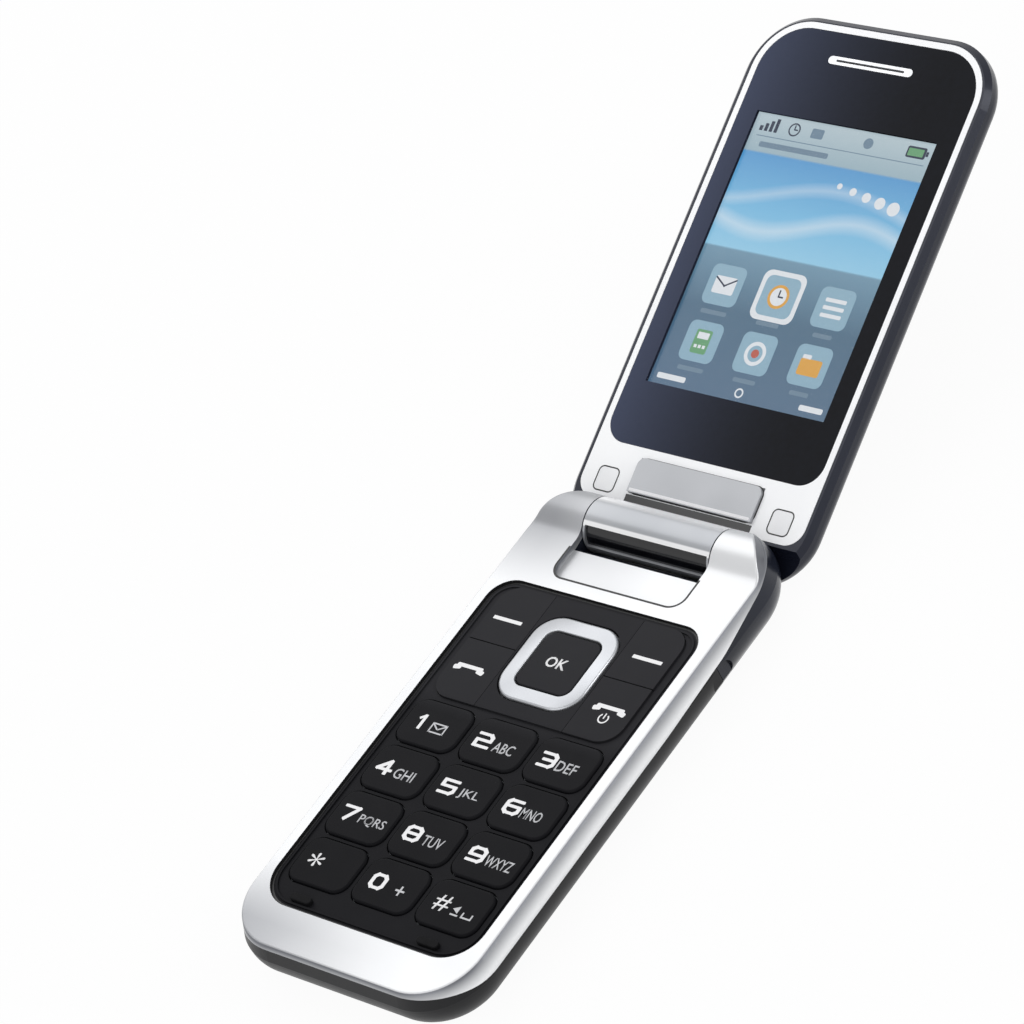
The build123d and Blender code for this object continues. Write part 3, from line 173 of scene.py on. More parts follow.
# moulded, painted, rubber and metal pieces
# deep and bright are the two ends of the colour, patch and grain are noise scales per metre
# a finish's shading entry paints light and shade between deep and bright in place of random patches
finishes = {
    "silver_frame": dict(deep=srgb(112, 114, 120), bright=srgb(250, 251, 252), patch=40, grain=2600,
                         rough=0.36, spread=0.03, metal=0.42, coat=0.0, bump=0.0, crown="side",
                         paintedShading="frame"),
    "inner_silver": dict(deep=srgb(240, 241, 243), bright=srgb(248, 249, 250), patch=40, grain=2600,
                         rough=0.3, spread=0.03, metal=0.1, coat=0.3, bump=0.004),
    "silver_key": dict(deep=srgb(170, 173, 178), bright=srgb(196, 199, 203), patch=90, grain=2600,
                       rough=0.3, spread=0.05, metal=0.55, coat=0.4, bump=0.03),
    "nav_silver": dict(deep=srgb(168, 170, 174), bright=srgb(188, 190, 194), patch=90, grain=2600,
                       rough=0.26, spread=0.03, metal=0.6, coat=0.0, bump=0.0, crown="ring"),
    "sleeve_silver": dict(deep=srgb(148, 151, 156), bright=srgb(246, 246, 247), patch=60, grain=2400,
                          rough=0.3, spread=0.03, metal=0.5, coat=0.1, bump=0.0, paintedShading="sleeve"),
    "plate_silver": dict(deep=srgb(166, 168, 172), bright=srgb(178, 180, 184), patch=60, grain=2400,
                         rough=0.32, spread=0.03, metal=0.35, coat=0.2, bump=0.004),
    "ring_chrome": dict(deep=srgb(226, 227, 230), bright=srgb(242, 243, 245), patch=150, grain=3000,
                        rough=0.2, spread=0.03, metal=0.6, coat=0.3, bump=0.004),
    "barrel_dark": dict(deep=srgb(10, 10, 13), bright=srgb(18, 19, 23), patch=120, grain=2600,
                        rough=0.18, spread=0.04, metal=0.1, coat=0.3, bump=0.01, shine=0.4),
    "blue_housing": dict(deep=srgb(26, 29, 38), bright=srgb(34, 38, 50), patch=70, grain=2600,
                         rough=0.24, spread=0.05, metal=0.2, coat=0.12, bump=0.01, shine=0.3),
    "dark_cover": dict(deep=srgb(10, 10, 12), bright=srgb(16, 16, 19), patch=60, grain=3200,
                       rough=0.4, spread=0.1, metal=0.0, coat=0.0, bump=0.08, shine=0.3),
    "navy_cover": dict(deep=srgb(27, 30, 42), bright=srgb(31, 35, 48), patch=30, grain=3400,
                       rough=0.26, spread=0.05, metal=0.3, coat=0.12, bump=0.01, shine=0.3),
    "key_web": dict(deep=srgb(23, 23, 26), bright=srgb(42, 42, 45), patch=80, grain=4200,
                    rough=0.55, spread=0.1, metal=0.0, coat=0.0, bump=0.04, shine=0.05, paintedShading="keys"),
    "key_caps": dict(deep=srgb(16, 16, 19), bright=srgb(44, 44, 47), patch=80, grain=4200,
                     rough=0.5, spread=0.1, metal=0.0, coat=0.0, bump=0.04, shine=0.05, paintedShading="keys"),
    "nav_carrier": dict(deep=srgb(120, 122, 126), bright=srgb(150, 152, 156), patch=120, grain=2600,
                        rough=0.35, spread=0.1, metal=0.9, coat=0.0, bump=0.06),
    "bumper_rubber": dict(deep=srgb(10, 10, 12), bright=srgb(17, 17, 19), patch=200, grain=5200,
                          rough=0.72, spread=0.12, metal=0.0, coat=0.0, bump=0.3, shine=0.1),
    "plug_rubber": dict(deep=srgb(238, 239, 241), bright=srgb(246, 247, 248), patch=200, grain=5200,
                        rough=0.5, spread=0.08, metal=0.1, coat=0.0, bump=0.1),
    "silicone": dict(deep=srgb(120, 124, 128), bright=srgb(146, 150, 153), patch=80, grain=4200,
                     rough=0.55, spread=0.12, metal=0.0, coat=0.0, bump=0.2),
    "dome_steel": dict(deep=srgb(150, 150, 148), bright=srgb(182, 182, 180), patch=300, grain=3200,
                       rough=0.28, spread=0.1, metal=0.9, coat=0.0, bump=0.05),
    "can_steel": dict(deep=srgb(152, 154, 156), bright=srgb(184, 186, 188), patch=200, grain=3600,
                      rough=0.32, spread=0.14, metal=0.95, coat=0.0, bump=0.08),
    "socket_metal": dict(deep=srgb(132, 134, 137), bright=srgb(170, 172, 175), patch=300, grain=3600,
                         rough=0.3, spread=0.12, metal=0.95, coat=0.0, bump=0.06),
    "speaker_body": dict(deep=srgb(34, 35, 38), bright=srgb(52, 53, 57), patch=300, grain=4200,
                         rough=0.5, spread=0.14, metal=0.0, coat=0.0, bump=0.2),
    "contact_block": dict(deep=srgb(26, 26, 28), bright=srgb(40, 40, 43), patch=300, grain=4200,
                          rough=0.5, spread=0.12, metal=0.0, coat=0.0, bump=0.15),
    "antenna_brass": dict(deep=srgb(176, 148, 88), bright=srgb(206, 178, 112), patch=250, grain=3600,
                          rough=0.34, spread=0.12, metal=0.9, coat=0.0, bump=0.08),
    "screw_steel": dict(deep=srgb(70, 71, 74), bright=srgb(104, 106, 110), patch=500, grain=5200,
                        rough=0.3, spread=0.12, metal=0.95, coat=0.0, bump=0.1),
    "shaft_steel": dict(deep=srgb(140, 142, 145), bright=srgb(172, 174, 178), patch=300, grain=5200,
                        rough=0.22, spread=0.08, metal=0.98, coat=0.0, bump=0.06),
    "cam_body": dict(deep=srgb(42, 44, 48), bright=srgb(60, 62, 67), patch=250, grain=4200,
                     rough=0.4, spread=0.12, metal=0.1, coat=0.0, bump=0.12),
    "backlight": dict(deep=srgb(206, 210, 212), bright=srgb(226, 229, 230), patch=90, grain=3600,
                      rough=0.45, spread=0.1, metal=0.0, coat=0.1, bump=0.05),
    "flex_film": dict(deep=srgb(150, 88, 34), bright=srgb(186, 116, 52), patch=200, grain=3600,
                      rough=0.3, spread=0.08, metal=0.1, coat=0.4, bump=0.05),
    "grille_dark": dict(deep=srgb(198, 200, 203), bright=srgb(222, 223, 225), patch=500, grain=5200,
                        rough=0.3, spread=0.08, metal=0.6, coat=0.2, bump=0.03),
    "camera_glass": dict(deep=srgb(9, 10, 13), bright=srgb(16, 18, 23), patch=200, grain=3200,
                         rough=0.05, spread=0.02, metal=0.0, coat=1.0, bump=0.0),
    "camera_body": dict(deep=srgb(20, 21, 24), bright=srgb(34, 35, 39), patch=400, grain=5200,
                        rough=0.4, spread=0.12, metal=0.1, coat=0.0, bump=0.1),
}


crownLook = {
    "rim": 10.2 * mm,
    "sideMiddle": 8.6 * mm,  # height at which the side wall stands out most
    "sideBend": -150.0,
    "ringMiddle": 15.9 * mm,
    "ringBend": -13.0,
}


def sideCrown(skin):
    z = skin.axes()[2]
    rise = z.calc("MINIMUM", z, crownLook["rim"]) - crownLook["sideMiddle"]
    return rise * rise * crownLook["sideBend"]


def ringCrown(skin):
    x, y = skin.axes()[:2]
    y = y - crownLook["ringMiddle"]
    return (x * x + y * y) * crownLook["ringBend"]


crowns = {"side": sideCrown, "ring": ringCrown}

frameShadingLook = {
    "face": 0.64,
    "chinDepth": 0.42,  # how much darker the left of the chin is
    "chinX": (14 * mm, -22 * mm),
    "chinY": (-34 * mm, -46 * mm),
    "shoulderDepth": 0.44,
    "shoulderX": (6 * mm, -20 * mm),
    "shoulderY": (28 * mm, 42 * mm),
    "steep": (0.66, 0.46),  # upward part of the normal where the face turns into the wall
    "wallZ": (9.8 * mm, 7.4 * mm),
}


def framePaintedShading(skin):
    # painted shade: darker towards the left of the chin and of the shoulders
    x, y, z = skin.axes()
    chin = x.climb(*frameShadingLook["chinX"]) * y.climb(*frameShadingLook["chinY"])
    shoulder = x.climb(*frameShadingLook["shoulderX"]) * y.climb(*frameShadingLook["shoulderY"])
    face = frameShadingLook["face"] - chin * frameShadingLook["chinDepth"] - shoulder * frameShadingLook["shoulderDepth"]
    # painted shade on the walls just under the face's edge, and a painted highlight at their foot
    upward = skin.axes(skin.make("ShaderNodeTexCoord", output="Normal"))[2]
    return face + upward.climb(*frameShadingLook["steep"]) * (z.climb(*frameShadingLook["wallZ"]) - face)


sleeveHighlightLook = {
    "plain": 0.1,
    "band": 0.8,
    # middle of each painted highlight band, half width and fade, in radians round the barrel
    "edge": (1.86, 0.13, 0.05),
    "back": (0.56, 0.34, 0.2),
}


def sleevePaintedHighlights(skin):
    # two painted highlights: bright bands, one along the bare edge and one along the back
    y, z = skin.axes()[1:]
    along = (y - hingeAxis.y) * lidAlong.y + (z - hingeAxis.z) * lidAlong.z
    out = (y - hingeAxis.y) * lidOut.y + (z - hingeAxis.z) * lidOut.z
    turn = out.calc("ARCTAN2", out, along)
    edge, back = [((half - abs(turn - middle)) / fade).capped()
                  for middle, half, fade in (sleeveHighlightLook["edge"], sleeveHighlightLook["back"])]
    return sleeveHighlightLook["plain"] + (edge + back) * sleeveHighlightLook["band"]


keyLightLook = {
    "upper": (0.5 * mm, 4.5 * mm),  # where the number keys end and the upper keys start
    "whole": (-34 * mm, 28 * mm),
    "upperShare": 0.7,
    "wholeShare": 0.3,
}


def keyPaintedLight(skin):
    # painted light: the keys round the ring are coloured lighter than the number keys, as if they
    # caught more light, and all keys grow lighter towards the far end
    y = skin.axes()[1]
    return (y.climb(*keyLightLook["upper"]) * keyLightLook["upperShare"]
            + y.climb(*keyLightLook["whole"]) * keyLightLook["wholeShare"])


shadingPainters = {"frame": framePaintedShading, "sleeve": sleevePaintedHighlights, "keys": keyPaintedLight}


surfaceLook = {
    "patchCut": 0.32,
    "patchGain": 2.6,
    "wipe": 3.7,  # wiped streaks are this much finer than the patches
    "stir": 0.08,  # how much the patches stir the painted shading
    "grainHeight": 0.06 * mm,
}


def moulded(name, look):
    skin = Skin(name)
    where = skin.place()
    patch = skin.noise(look["patch"], 2.0, where) - surfaceLook["patchCut"]
    patch = (patch * surfaceLook["patchGain"]).capped()
    grain = skin.noise(look["grain"], 3.0, where)
    wiped = skin.noise(look["patch"] * surfaceLook["wipe"], 4.0, where)
    gloss = look["rough"] + (grain - 0.5) * look["spread"] + (wiped - 0.5) * look["spread"]
    # painted light and shade set the colour here, stirred a little by the patches
    if "paintedShading" in look:
        patch = shadingPainters[look["paintedShading"]](skin) + (patch - 0.5) * surfaceLook["stir"]
    inputs = {
        "Base Color": skin.blend(patch, look["deep"], look["bright"]),
        "Roughness": gloss,
        "Metallic": look["metal"],
        "Coat Weight": look["coat"],
        "Coat Roughness": 0.06,
        "Specular IOR Level": look.get("shine", 0.5),
    }
    if look["bump"]:
        inputs["Normal"] = skin.bump(grain, look["bump"], surfaceLook["grainHeight"])
    if "crown" in look:
        # a soft crown on walls and faces that are moulded slightly rounded
        inputs["Normal"] = skin.bump(crowns[look["crown"]](skin), 1.0, 1.0, inputs.get("Normal"))
    return skin.surface(inputs)


windowLook = {
    "clearX": 19.35 * mm,  # half the width of the clear field over the display
    "clearLow": 27.0 * mm,
    "clearHigh": 78.4 * mm,
    "veil": 0.06,  # how much of the dark print shows over the display
    "print": srgb(9, 10, 15),
    "paintedReflection": srgb(72, 80, 104),
    "reflectionX": (16 * mm, -26 * mm),  # painted reflection: the print is coloured lighter towards the left side
    "reflectionMost": 0.9,
}


def windowPrint(name, look):
    skin = Skin(name)
    x, s = skin.lidAxes()
    field = (abs(x) < look["clearX"]) * (s > look["clearLow"]) * (s < look["clearHigh"])
    # painted reflection, growing lighter towards the left
    side = x.climb(*look["reflectionX"])
    speck = skin.noise(900, 3.0)
    paintedReflection = side * side * look["reflectionMost"] + speck * 0.05
    return skin.surface({
        "Base Color": skin.blend(paintedReflection, look["print"], look["paintedReflection"]),
        "Roughness": 0.05 + speck * 0.03,
        "Alpha": 1.0 - field * (1.0 - look["veil"]),
        "Specular IOR Level": 0.06,
    })


displayLook = {
    "low": 27.0 * mm,
    "high": 78.4 * mm,
    "bands": [
        (0.0, srgb(82, 112, 140)),
        (0.30, srgb(72, 108, 134)),
        (0.509, srgb(112, 152, 176)),
        (0.515, srgb(150, 208, 238)),
        (0.66, srgb(122, 192, 232)),
        (0.858, srgb(84, 158, 214)),
        (0.862, srgb(158, 184, 196)),
        (1.0, srgb(186, 204, 212)),
    ],
    "upper": (53.4 * mm, 71.1 * mm),
    "swells": [
        # middle, height, waves per metre, shift, spread, share
        (59.5 * mm, 2.2 * mm, 150.0, 0.0, 2.2 * mm, 0.5),
        (64.2 * mm, 2.6 * mm, 110.0, 1.1, 1.6 * mm, 0.35),
    ],
    "swellColour": srgb(232, 243, 250),
    "rowPace": 26000.0,  # pixel rows, just visible close up
    "rowShare": 0.02,
    "rowColour": srgb(20, 30, 50),
    "strength": 0.92,
}


def displayPicture(name, look):
    skin = Skin(name)
    x, s = skin.lidAxes()
    level = s.climb(look["low"], look["high"])
    colour = skin.make("ShaderNodeValToRGB", {"stops": look["bands"]}, {"Fac": level})
    # soft swells of light cross the upper picture
    low, high = look["upper"]
    lights = [(1.0 - abs(s - middle - height * (x * pace + shift).sine()) / spread).capped() * share
              for middle, height, pace, shift, spread, share in look["swells"]]
    light = (lights[0] + lights[1]) * ((s > low) * (s < high))
    colour = skin.blend(light, colour, look["swellColour"])
    rows = (s * look["rowPace"]).sine() * look["rowShare"] + look["rowShare"]
    colour = skin.blend(rows, colour, look["rowColour"])
    return skin.surface({
        "Base Color": srgb(8, 10, 14),
        "Roughness": 0.3,
        "Emission Color": colour,
        "Emission Strength": look["strength"],
    })


def boardPattern(name):
    skin = Skin(name)
    where = skin.place()
    tracks = skin.make("ShaderNodeTexBrick", {"offset": 0.37, "squash": 1.0}, {
        "Vector": where, "Scale": 420.0, "Mortar Size": 0.06,
        "Color1": srgb(22, 84, 62), "Color2": srgb(18, 74, 55), "Mortar": srgb(52, 118, 88)})
    pads = skin.make("ShaderNodeTexVoronoi", None, {"Vector": where, "Scale": 520.0})
    dots = (0.24 - pads) * 20.0
    return skin.surface({
        "Base Color": skin.blend(dots.capped(), tracks, srgb(196, 164, 92)),
        "Metallic": dots.capped() * 0.9,
        "Roughness": 0.3 + skin.noise(2600) * 0.1,
        "Coat Weight": 0.3,
        "Normal": skin.bump(pads, 0.1, 0.00005),
    })


def batteryLabel(name):
    skin = Skin(name)
    # a plain grey sleeve with a darker band at the contact end
    band = skin.axes()[1] > 4 * mm
    grain = skin.noise(2400, 3.0)
    sleeve = skin.blend(skin.noise(70), srgb(150, 154, 160), srgb(172, 176, 182))
    return skin.surface({
        "Base Color": skin.blend(band, sleeve, srgb(44, 46, 52)),
        "Roughness": 0.34 + (grain - 0.5) * 0.12,
        "Metallic": 0.15,
        "Coat Weight": 0.25,
        "Normal": skin.bump(grain, 0.06, 0.00006),
    })


def cardPattern(name):
    skin = Skin(name)
    grain = skin.noise(2400, 3.0)
    return skin.surface({
        "Base Color": skin.blend(skin.noise(60), srgb(206, 210, 214), srgb(224, 227, 230)),
        "Roughness": 0.4 + (grain - 0.5) * 0.1,
        "Coat Weight": 0.1,
        "Normal": skin.bump(grain, 0.05, 0.00005),
    })


skins = {name: moulded(name, look) for name, look in finishes.items()}
skins["window_glass"] = windowPrint("window_glass", windowLook)
skins["display"] = displayPicture("display", displayLook)
skins["board"] = boardPattern("board")
skins["battery_can"] = batteryLabel("battery_can")
skins["card_plastic"] = cardPattern("card_plastic")

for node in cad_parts.values():
    for slot in node.material_slots:
        slotName = slot.material.name.split(".")[0]
        if slotName in skins:
            slot.material = skins[slotName]
        else:
            print("no finish for", node.name, slotName)
print("finishes set:", len(skins))


def flatInk(name, colour, glow=0.0, rough=0.5):
    skin = Skin(name)
    mottle = skin.noise(1800, 2.0)
    shade = tuple(0.88 * part for part in colour[:3]) + (1.0,)
    ink = skin.blend(mottle, shade, colour)
    if glow:
        return skin.surface({"Base Color": srgb(10, 12, 16), "Roughness": rough,
                             "Emission Color": ink, "Emission Strength": glow})
    return skin.surface({"Base Color": ink, "Roughness": rough + (mottle - 0.5) * 0.1})


def finished(name, shape, skin, body):
    mesh = bpy.data.meshes.new(name)
    shape.to_mesh(mesh)
    shape.free()
    mesh.materials.append(skin)
    piece = bpy.data.objects.new(name, mesh)
    bpy.context.scene.collection.objects.link(piece)
    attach(piece, body)
    return piece


def pour(target, part, place):
    mesh = bpy.data.meshes.new("part")
    part.to_mesh(mesh)
    part.free()
    mesh.transform(place)
    target.from_mesh(mesh)
    bpy.data.meshes.remove(mesh)


def thicken(shape, height):
    raised = bmesh.ops.extrude_face_region(shape, geom=shape.faces[:])
    tops = [v for v in raised["geom"] if isinstance(v, bmesh.types.BMVert)]
    bmesh.ops.translate(shape, vec=(0, 0, height), verts=tops)
    bmesh.ops.recalc_face_normals(shape, faces=shape.faces[:])
    return shape


def tile(width, length, corner, height, segments=4):
    shape = bmesh.new()
    bmesh.ops.create_grid(shape, x_segments=1, y_segments=1, size=0.5)
    bmesh.ops.scale(shape, vec=(width, length, 1), verts=shape.verts[:])
    if corner:
        bmesh.ops.bevel(shape, geom=shape.verts[:], offset=corner, offset_type="OFFSET",
                        affect="VERTICES", segments=segments, profile=0.5, material=-1)
    return thicken(shape, height)


def disc(radius, height, segments=28):
    shape = bmesh.new()
    bmesh.ops.create_circle(shape, cap_ends=True, segments=segments, radius=radius)
    return thicken(shape, height)


def hoop(radius, width, height, segments=28, arc=360.0, start=0.0):
    shape = bmesh.new()
    low = shape.verts.new((radius - width, 0, 0))
    high = shape.verts.new((radius, 0, 0))
    edge = shape.edges.new((low, high))
    full = arc >= 359.9
    bmesh.ops.spin(shape, geom=[low, high, edge], cent=(0, 0, 0), axis=(0, 0, 1),
                   angle=math.radians(arc), steps=segments, use_merge=full)
    bmesh.ops.remove_doubles(shape, verts=shape.verts[:], dist=1e-7)
    bmesh.ops.rotate(shape, cent=(0, 0, 0), matrix=Matrix.Rotation(math.radians(start), 3, "Z"),
                     verts=shape.verts[:])
    return thicken(shape, height)


def at(x, y, z=0.0, turn=0.0):
    return Matrix.Translation(Vector((x, y, z)) * mm) @ Matrix.Rotation(math.radians(turn), 4, "Z")


def letters(text, left, right, low, high, height, weight=0.0):
    # text set into the box left..right, low..high
    curve = bpy.data.curves.new("letters", "FONT")
    curve.body = text
    curve.resolution_u = 3
    curve.offset = weight
    holder = bpy.data.objects.new("letters", curve)
    bpy.context.scene.collection.objects.link(holder)
    bpy.context.view_layer.update()
    flat = holder.evaluated_get(bpy.context.evaluated_depsgraph_get())
    mesh = bpy.data.meshes.new_from_object(flat)
    bpy.data.objects.remove(holder)
    shape = bmesh.new()
    shape.from_mesh(mesh)
    bpy.data.meshes.remove(mesh)
    bmesh.ops.remove_doubles(shape, verts=shape.verts[:], dist=1e-4)
    xs = [v.co.x for v in shape.verts]
    ys = [v.co.y for v in shape.verts]
    wide = (right - left) * mm / (max(xs) - min(xs))
    tall = (high - low) * mm / (max(ys) - min(ys))
    bmesh.ops.translate(shape, vec=(-min(xs), -min(ys), 0), verts=shape.verts[:])
    bmesh.ops.scale(shape, vec=(wide, tall, 1), verts=shape.verts[:])
    bmesh.ops.translate(shape, vec=(left * mm, low * mm, 0), verts=shape.verts[:])
    return thicken(shape, height)


keypad = {
    "top": 29.55,  # far edge of the keypad opening
    "rows": [-31.6, -41.8, -52.0, -62.2],
    "digitLeft": [-18.8, -4.7, 9.25],
    "digitWidth": 3.55,
    "digitHeight": 3.1,
    "letterLeft": [-14.6, -0.4, 13.2],
    "letterWidth": 1.42,
    "letterHeight": 2.1,
    "letterEnd": 18.8,
    "keyTop": 10.05,
    "okTop": 10.15,
    "proud": 0.012,
    "stem": 0.74,  # thickness of a digit's upright strokes
    "bar": 0.56,
    "soft": 0.17,  # rounding of the strokes' corners
}
# the digits' strokes in a unit box, drawn without lifting the pen
strokes = {
    "2": [(0, 1), (0.8, 1), (1, 0.82), (1, 0.5), (0, 0.5), (0, 0), (1, 0)],
    "3": [(0, 1), (0.8, 1), (1, 0.82), (1, 0.5), (0.2, 0.5), (1, 0.5), (1, 0.18), (0.8, 0), (0, 0)],
    "4": [(0.72, 0), (0.72, 1), (0, 0.3), (1, 0.3)],
    "5": [(1, 1), (0, 1), (0, 0.55), (1, 0.55), (1, 0.18), (0.8, 0), (0, 0)],
    "6": [(1, 1), (0.2, 1), (0, 0.82), (0, 0.18), (0.2, 0), (0.8, 0), (1, 0.18), (1, 0.55), (0, 0.55)],
    "7": [(0, 1), (1, 1), (0.35, 0)],
    "8": [(0, 0.5), (0, 0.82), (0.2, 1), (0.8, 1), (1, 0.82), (1, 0.5), (0, 0.5), (0, 0.18), (0.2, 0),
          (0.8, 0), (1, 0.18), (1, 0.5)],
    "9": [(0, 0), (0.8, 0), (1, 0.18), (1, 0.82), (0.8, 1), (0.2, 1), (0, 0.82), (0, 0.45), (1, 0.45)],
    "0": [(0.2, 0), (0.8, 0), (1, 0.2), (1, 0.8), (0.8, 1), (0.2, 1), (0, 0.8), (0, 0.2), (0.2, 0)],
}
legends = [
    ("key_1", "1", ""), ("key_2", "2", "ABC"), ("key_3", "3", "DEF"),
    ("key_4", "4", "GHI"), ("key_5", "5", "JKL"), ("key_6", "6", "MNO"),
    ("key_7", "7", "PQRS"), ("key_8", "8", "TUV"), ("key_9", "9", "WXYZ"),
    ("key_star", "*", ""), ("key_0", "0", ""), ("key_hash", "#", ""),
]
# shift, width and lift of the figures that are narrower than the others
narrow = {"1": (1.2, 1.2, 0), "*": (0.7, 3.0, 0.3), "#": (0.5, 3.1, 0), "0": (0.45, 3.25, 0)}
whitePrint = flatInk("white_print", srgb(253, 253, 254))
greyPrint = flatInk("grey_print", srgb(206, 207, 210))
proud = keypad["proud"] * mm


def printOn(key, skin, parts, name, top=keypad["keyTop"]):
    shape = bmesh.new()
    for part, place in parts:
        pour(shape, part, Matrix.Translation((0, 0, top * mm)) @ place)
    finished(name, shape, skin, key)


def squared(digit, left, right, low, high):
    # a wide digit of straight strokes
    stem, bar = keypad["stem"], keypad["bar"]
    points = [(left + stem / 2 + u * (right - left - stem), low + bar / 2 + v * (high - low - bar))
              for u, v in strokes[digit]]
    parts = []
    for index, ((x, y), (nextX, nextY)) in enumerate(zip(points, points[1:])):
        run, rise = nextX - x, nextY - y
        level = abs(rise) < 0.01
        stroke = tile((math.hypot(run, rise) + (stem if level else bar)) * mm,
                      (bar if level else stem) * mm, keypad["soft"] * mm, proud, 3)
        turn = math.degrees(math.atan2(rise, run))
        parts.append((stroke, at(x + run / 2, y + rise / 2, 0.001 * index, turn)))
    return parts


for index, (key, digit, word) in enumerate(legends):
    column = index % 3
    middle = keypad["rows"][index // 3] + keypad["top"]
    low = middle - keypad["digitHeight"] / 2
    high = middle + keypad["digitHeight"] / 2
    left = keypad["digitLeft"][column]
    width = keypad["digitWidth"]
    if digit in narrow:
        shift, width, lift = narrow[digit]
        left, low = left + shift, low + lift
    if digit == "1":
        # a stem with a short flag
        glyph = [(tile(0.62 * mm, 3.1 * mm, 0, proud), at(left + 1.0, middle)),
                 (tile(1.25 * mm, 0.5 * mm, 0, proud), at(left + 0.5, high - 0.62, 0.001, 40))]
    elif digit in strokes:
        glyph = squared(digit, left, left + width, low, high)
    else:
        glyph = [(letters(digit, left, left + width, low, high, proud, 0.002), Matrix.Identity(4))]
    printOn(key, whitePrint, glyph, key + "_figure")
    small = []
    start = keypad["letterLeft"][column]
    if digit == "1":
        # an envelope
        small = [(tile(3.0 * mm, 0.28 * mm, 0, proud), at(start + 1.8, low + 0.14)),
                 (tile(3.0 * mm, 0.28 * mm, 0, proud), at(start + 1.8, low + 1.96)),
                 (tile(0.28 * mm, 2.1 * mm, 0, proud), at(start + 0.3, low + 1.05)),
                 (tile(0.28 * mm, 2.1 * mm, 0, proud), at(start + 3.3, low + 1.05)),
                 (tile(1.9 * mm, 0.26 * mm, 0, proud), at(start + 1.02, low + 1.4, 0.001, -35)),
                 (tile(1.9 * mm, 0.26 * mm, 0, proud), at(start + 2.58, low + 1.4, 0.001, 35))]
    elif digit == "0":
        small = [(tile(1.9 * mm, 0.36 * mm, 0, proud), at(2.4, low + 1.1)),
                 (tile(0.36 * mm, 0.78 * mm, 0, proud), at(2.4, low + 1.66)),
                 (tile(0.36 * mm, 0.78 * mm, 0, proud), at(2.4, low + 0.54))]
    elif digit == "#":
        # an arrow up over a bar, and a space mark
        small = [(tile(1.6 * mm, 0.3 * mm, 0, proud), at(14.7, low + 0.15)),
                 (disc(0.85 * mm, proud, 3), at(14.7, low + 1.25, 0, 90)),
                 (tile(2.2 * mm, 0.3 * mm, 0, proud), at(17.2, low + 0.15)),
                 (tile(0.3 * mm, 0.8 * mm, 0, proud), at(16.25, low + 0.7)),
                 (tile(0.3 * mm, 0.8 * mm, 0, proud), at(18.15, low + 0.7))]
    if word:
        end = min(start + keypad["letterWidth"] * len(word), keypad["letterEnd"])
        word = letters(word, start, end, low, low + keypad["letterHeight"], proud, 0.008)
        small = [(word, Matrix.Identity(4))]
    if small:
        printOn(key, greyPrint, small, key + "_letters")

top = keypad["top"]
for side, key in ((-1, "key_soft_left"), (1, "key_soft_right")):
    bar = tile(6.2 * mm, 0.7 * mm, 0.1 * mm, proud)
    printOn(key, whitePrint, [(bar, at(side * 15.25, top - 8.2))], key + "_bar")
signPrint = flatInk("call_white", srgb(253, 253, 254))


def handset(middle, width):
    # a bar with an ear and a mouth piece that hang down a little
    height = top - 18.95
    parts = [(tile(width * mm, 0.75 * mm, 0.3 * mm, proud), at(middle, height))]
    for side in (-1, 1):
        parts.append((tile(1.6 * mm, 0.95 * mm, 0.3 * mm, proud),
                      at(middle + side * (width / 2 - 0.3), height - 0.55, 0.001, -12 * side)))
    return parts


printOn("key_call", signPrint, handset(-15.5, 5.6), "key_call_sign")
power = [(hoop(1.05 * mm, 0.26 * mm, proud, 20, 280, 130), at(15.2, top - 21.2)),
         (tile(0.26 * mm, 1.1 * mm, 0, proud), at(15.2, top - 20.7))]
printOn("key_end", signPrint, handset(15.2, 5.8) + power, "key_end_sign")
okWord = letters("OK", -2.5, 1.9, top - 14.8, top - 12.6, proud, 0.02)
printOn("key_ok", whitePrint, [(okWord, Matrix.Identity(4))], "key_ok_word", top=keypad["okTop"])
print("key legends set")

artwork = {
    "depth": 0.69,  # behind the lid's inner face, just over the display
    "thick": 0.006,
    "layer": 0.008,  # each layer of print lies this much higher
    "iconSize": 7.4,
    "iconColumns": [-11.8, 0.0, 11.8],
    "iconRows": [46.6, 36.0],
    "labelDrop": 5.1,
    "statusRow": 76.3,
    "footRow": 28.7,
}
inks = {
    "snow": flatInk("ink_snow", srgb(238, 243, 248), 0.92),
    "night": flatInk("ink_night", srgb(34, 46, 70), 0.92),
    "slate": flatInk("ink_slate", srgb(116, 142, 162), 0.92),
    "mist": flatInk("ink_mist", srgb(150, 186, 206), 0.92),
    "amber": flatInk("ink_amber", srgb(232, 172, 74), 0.92),
    "leaf": flatInk("ink_leaf", srgb(108, 168, 120), 0.92),
    "brick": flatInk("ink_brick", srgb(196, 96, 78), 0.92),
}
thick = artwork["thick"] * mm
drawn = {name: bmesh.new() for name in inks}


def draw(ink, part, x, s, layer=0, turn=0.0):
    place = lidFrame @ at(x, s, -artwork["depth"] + artwork["layer"] * layer, turn)
    pour(drawn[ink], part, place)


def drawBar(ink, width, height, corner, x, s, layer=0, turn=0.0):
    draw(ink, tile(width * mm, height * mm, corner * mm, thick), x, s, layer, turn)


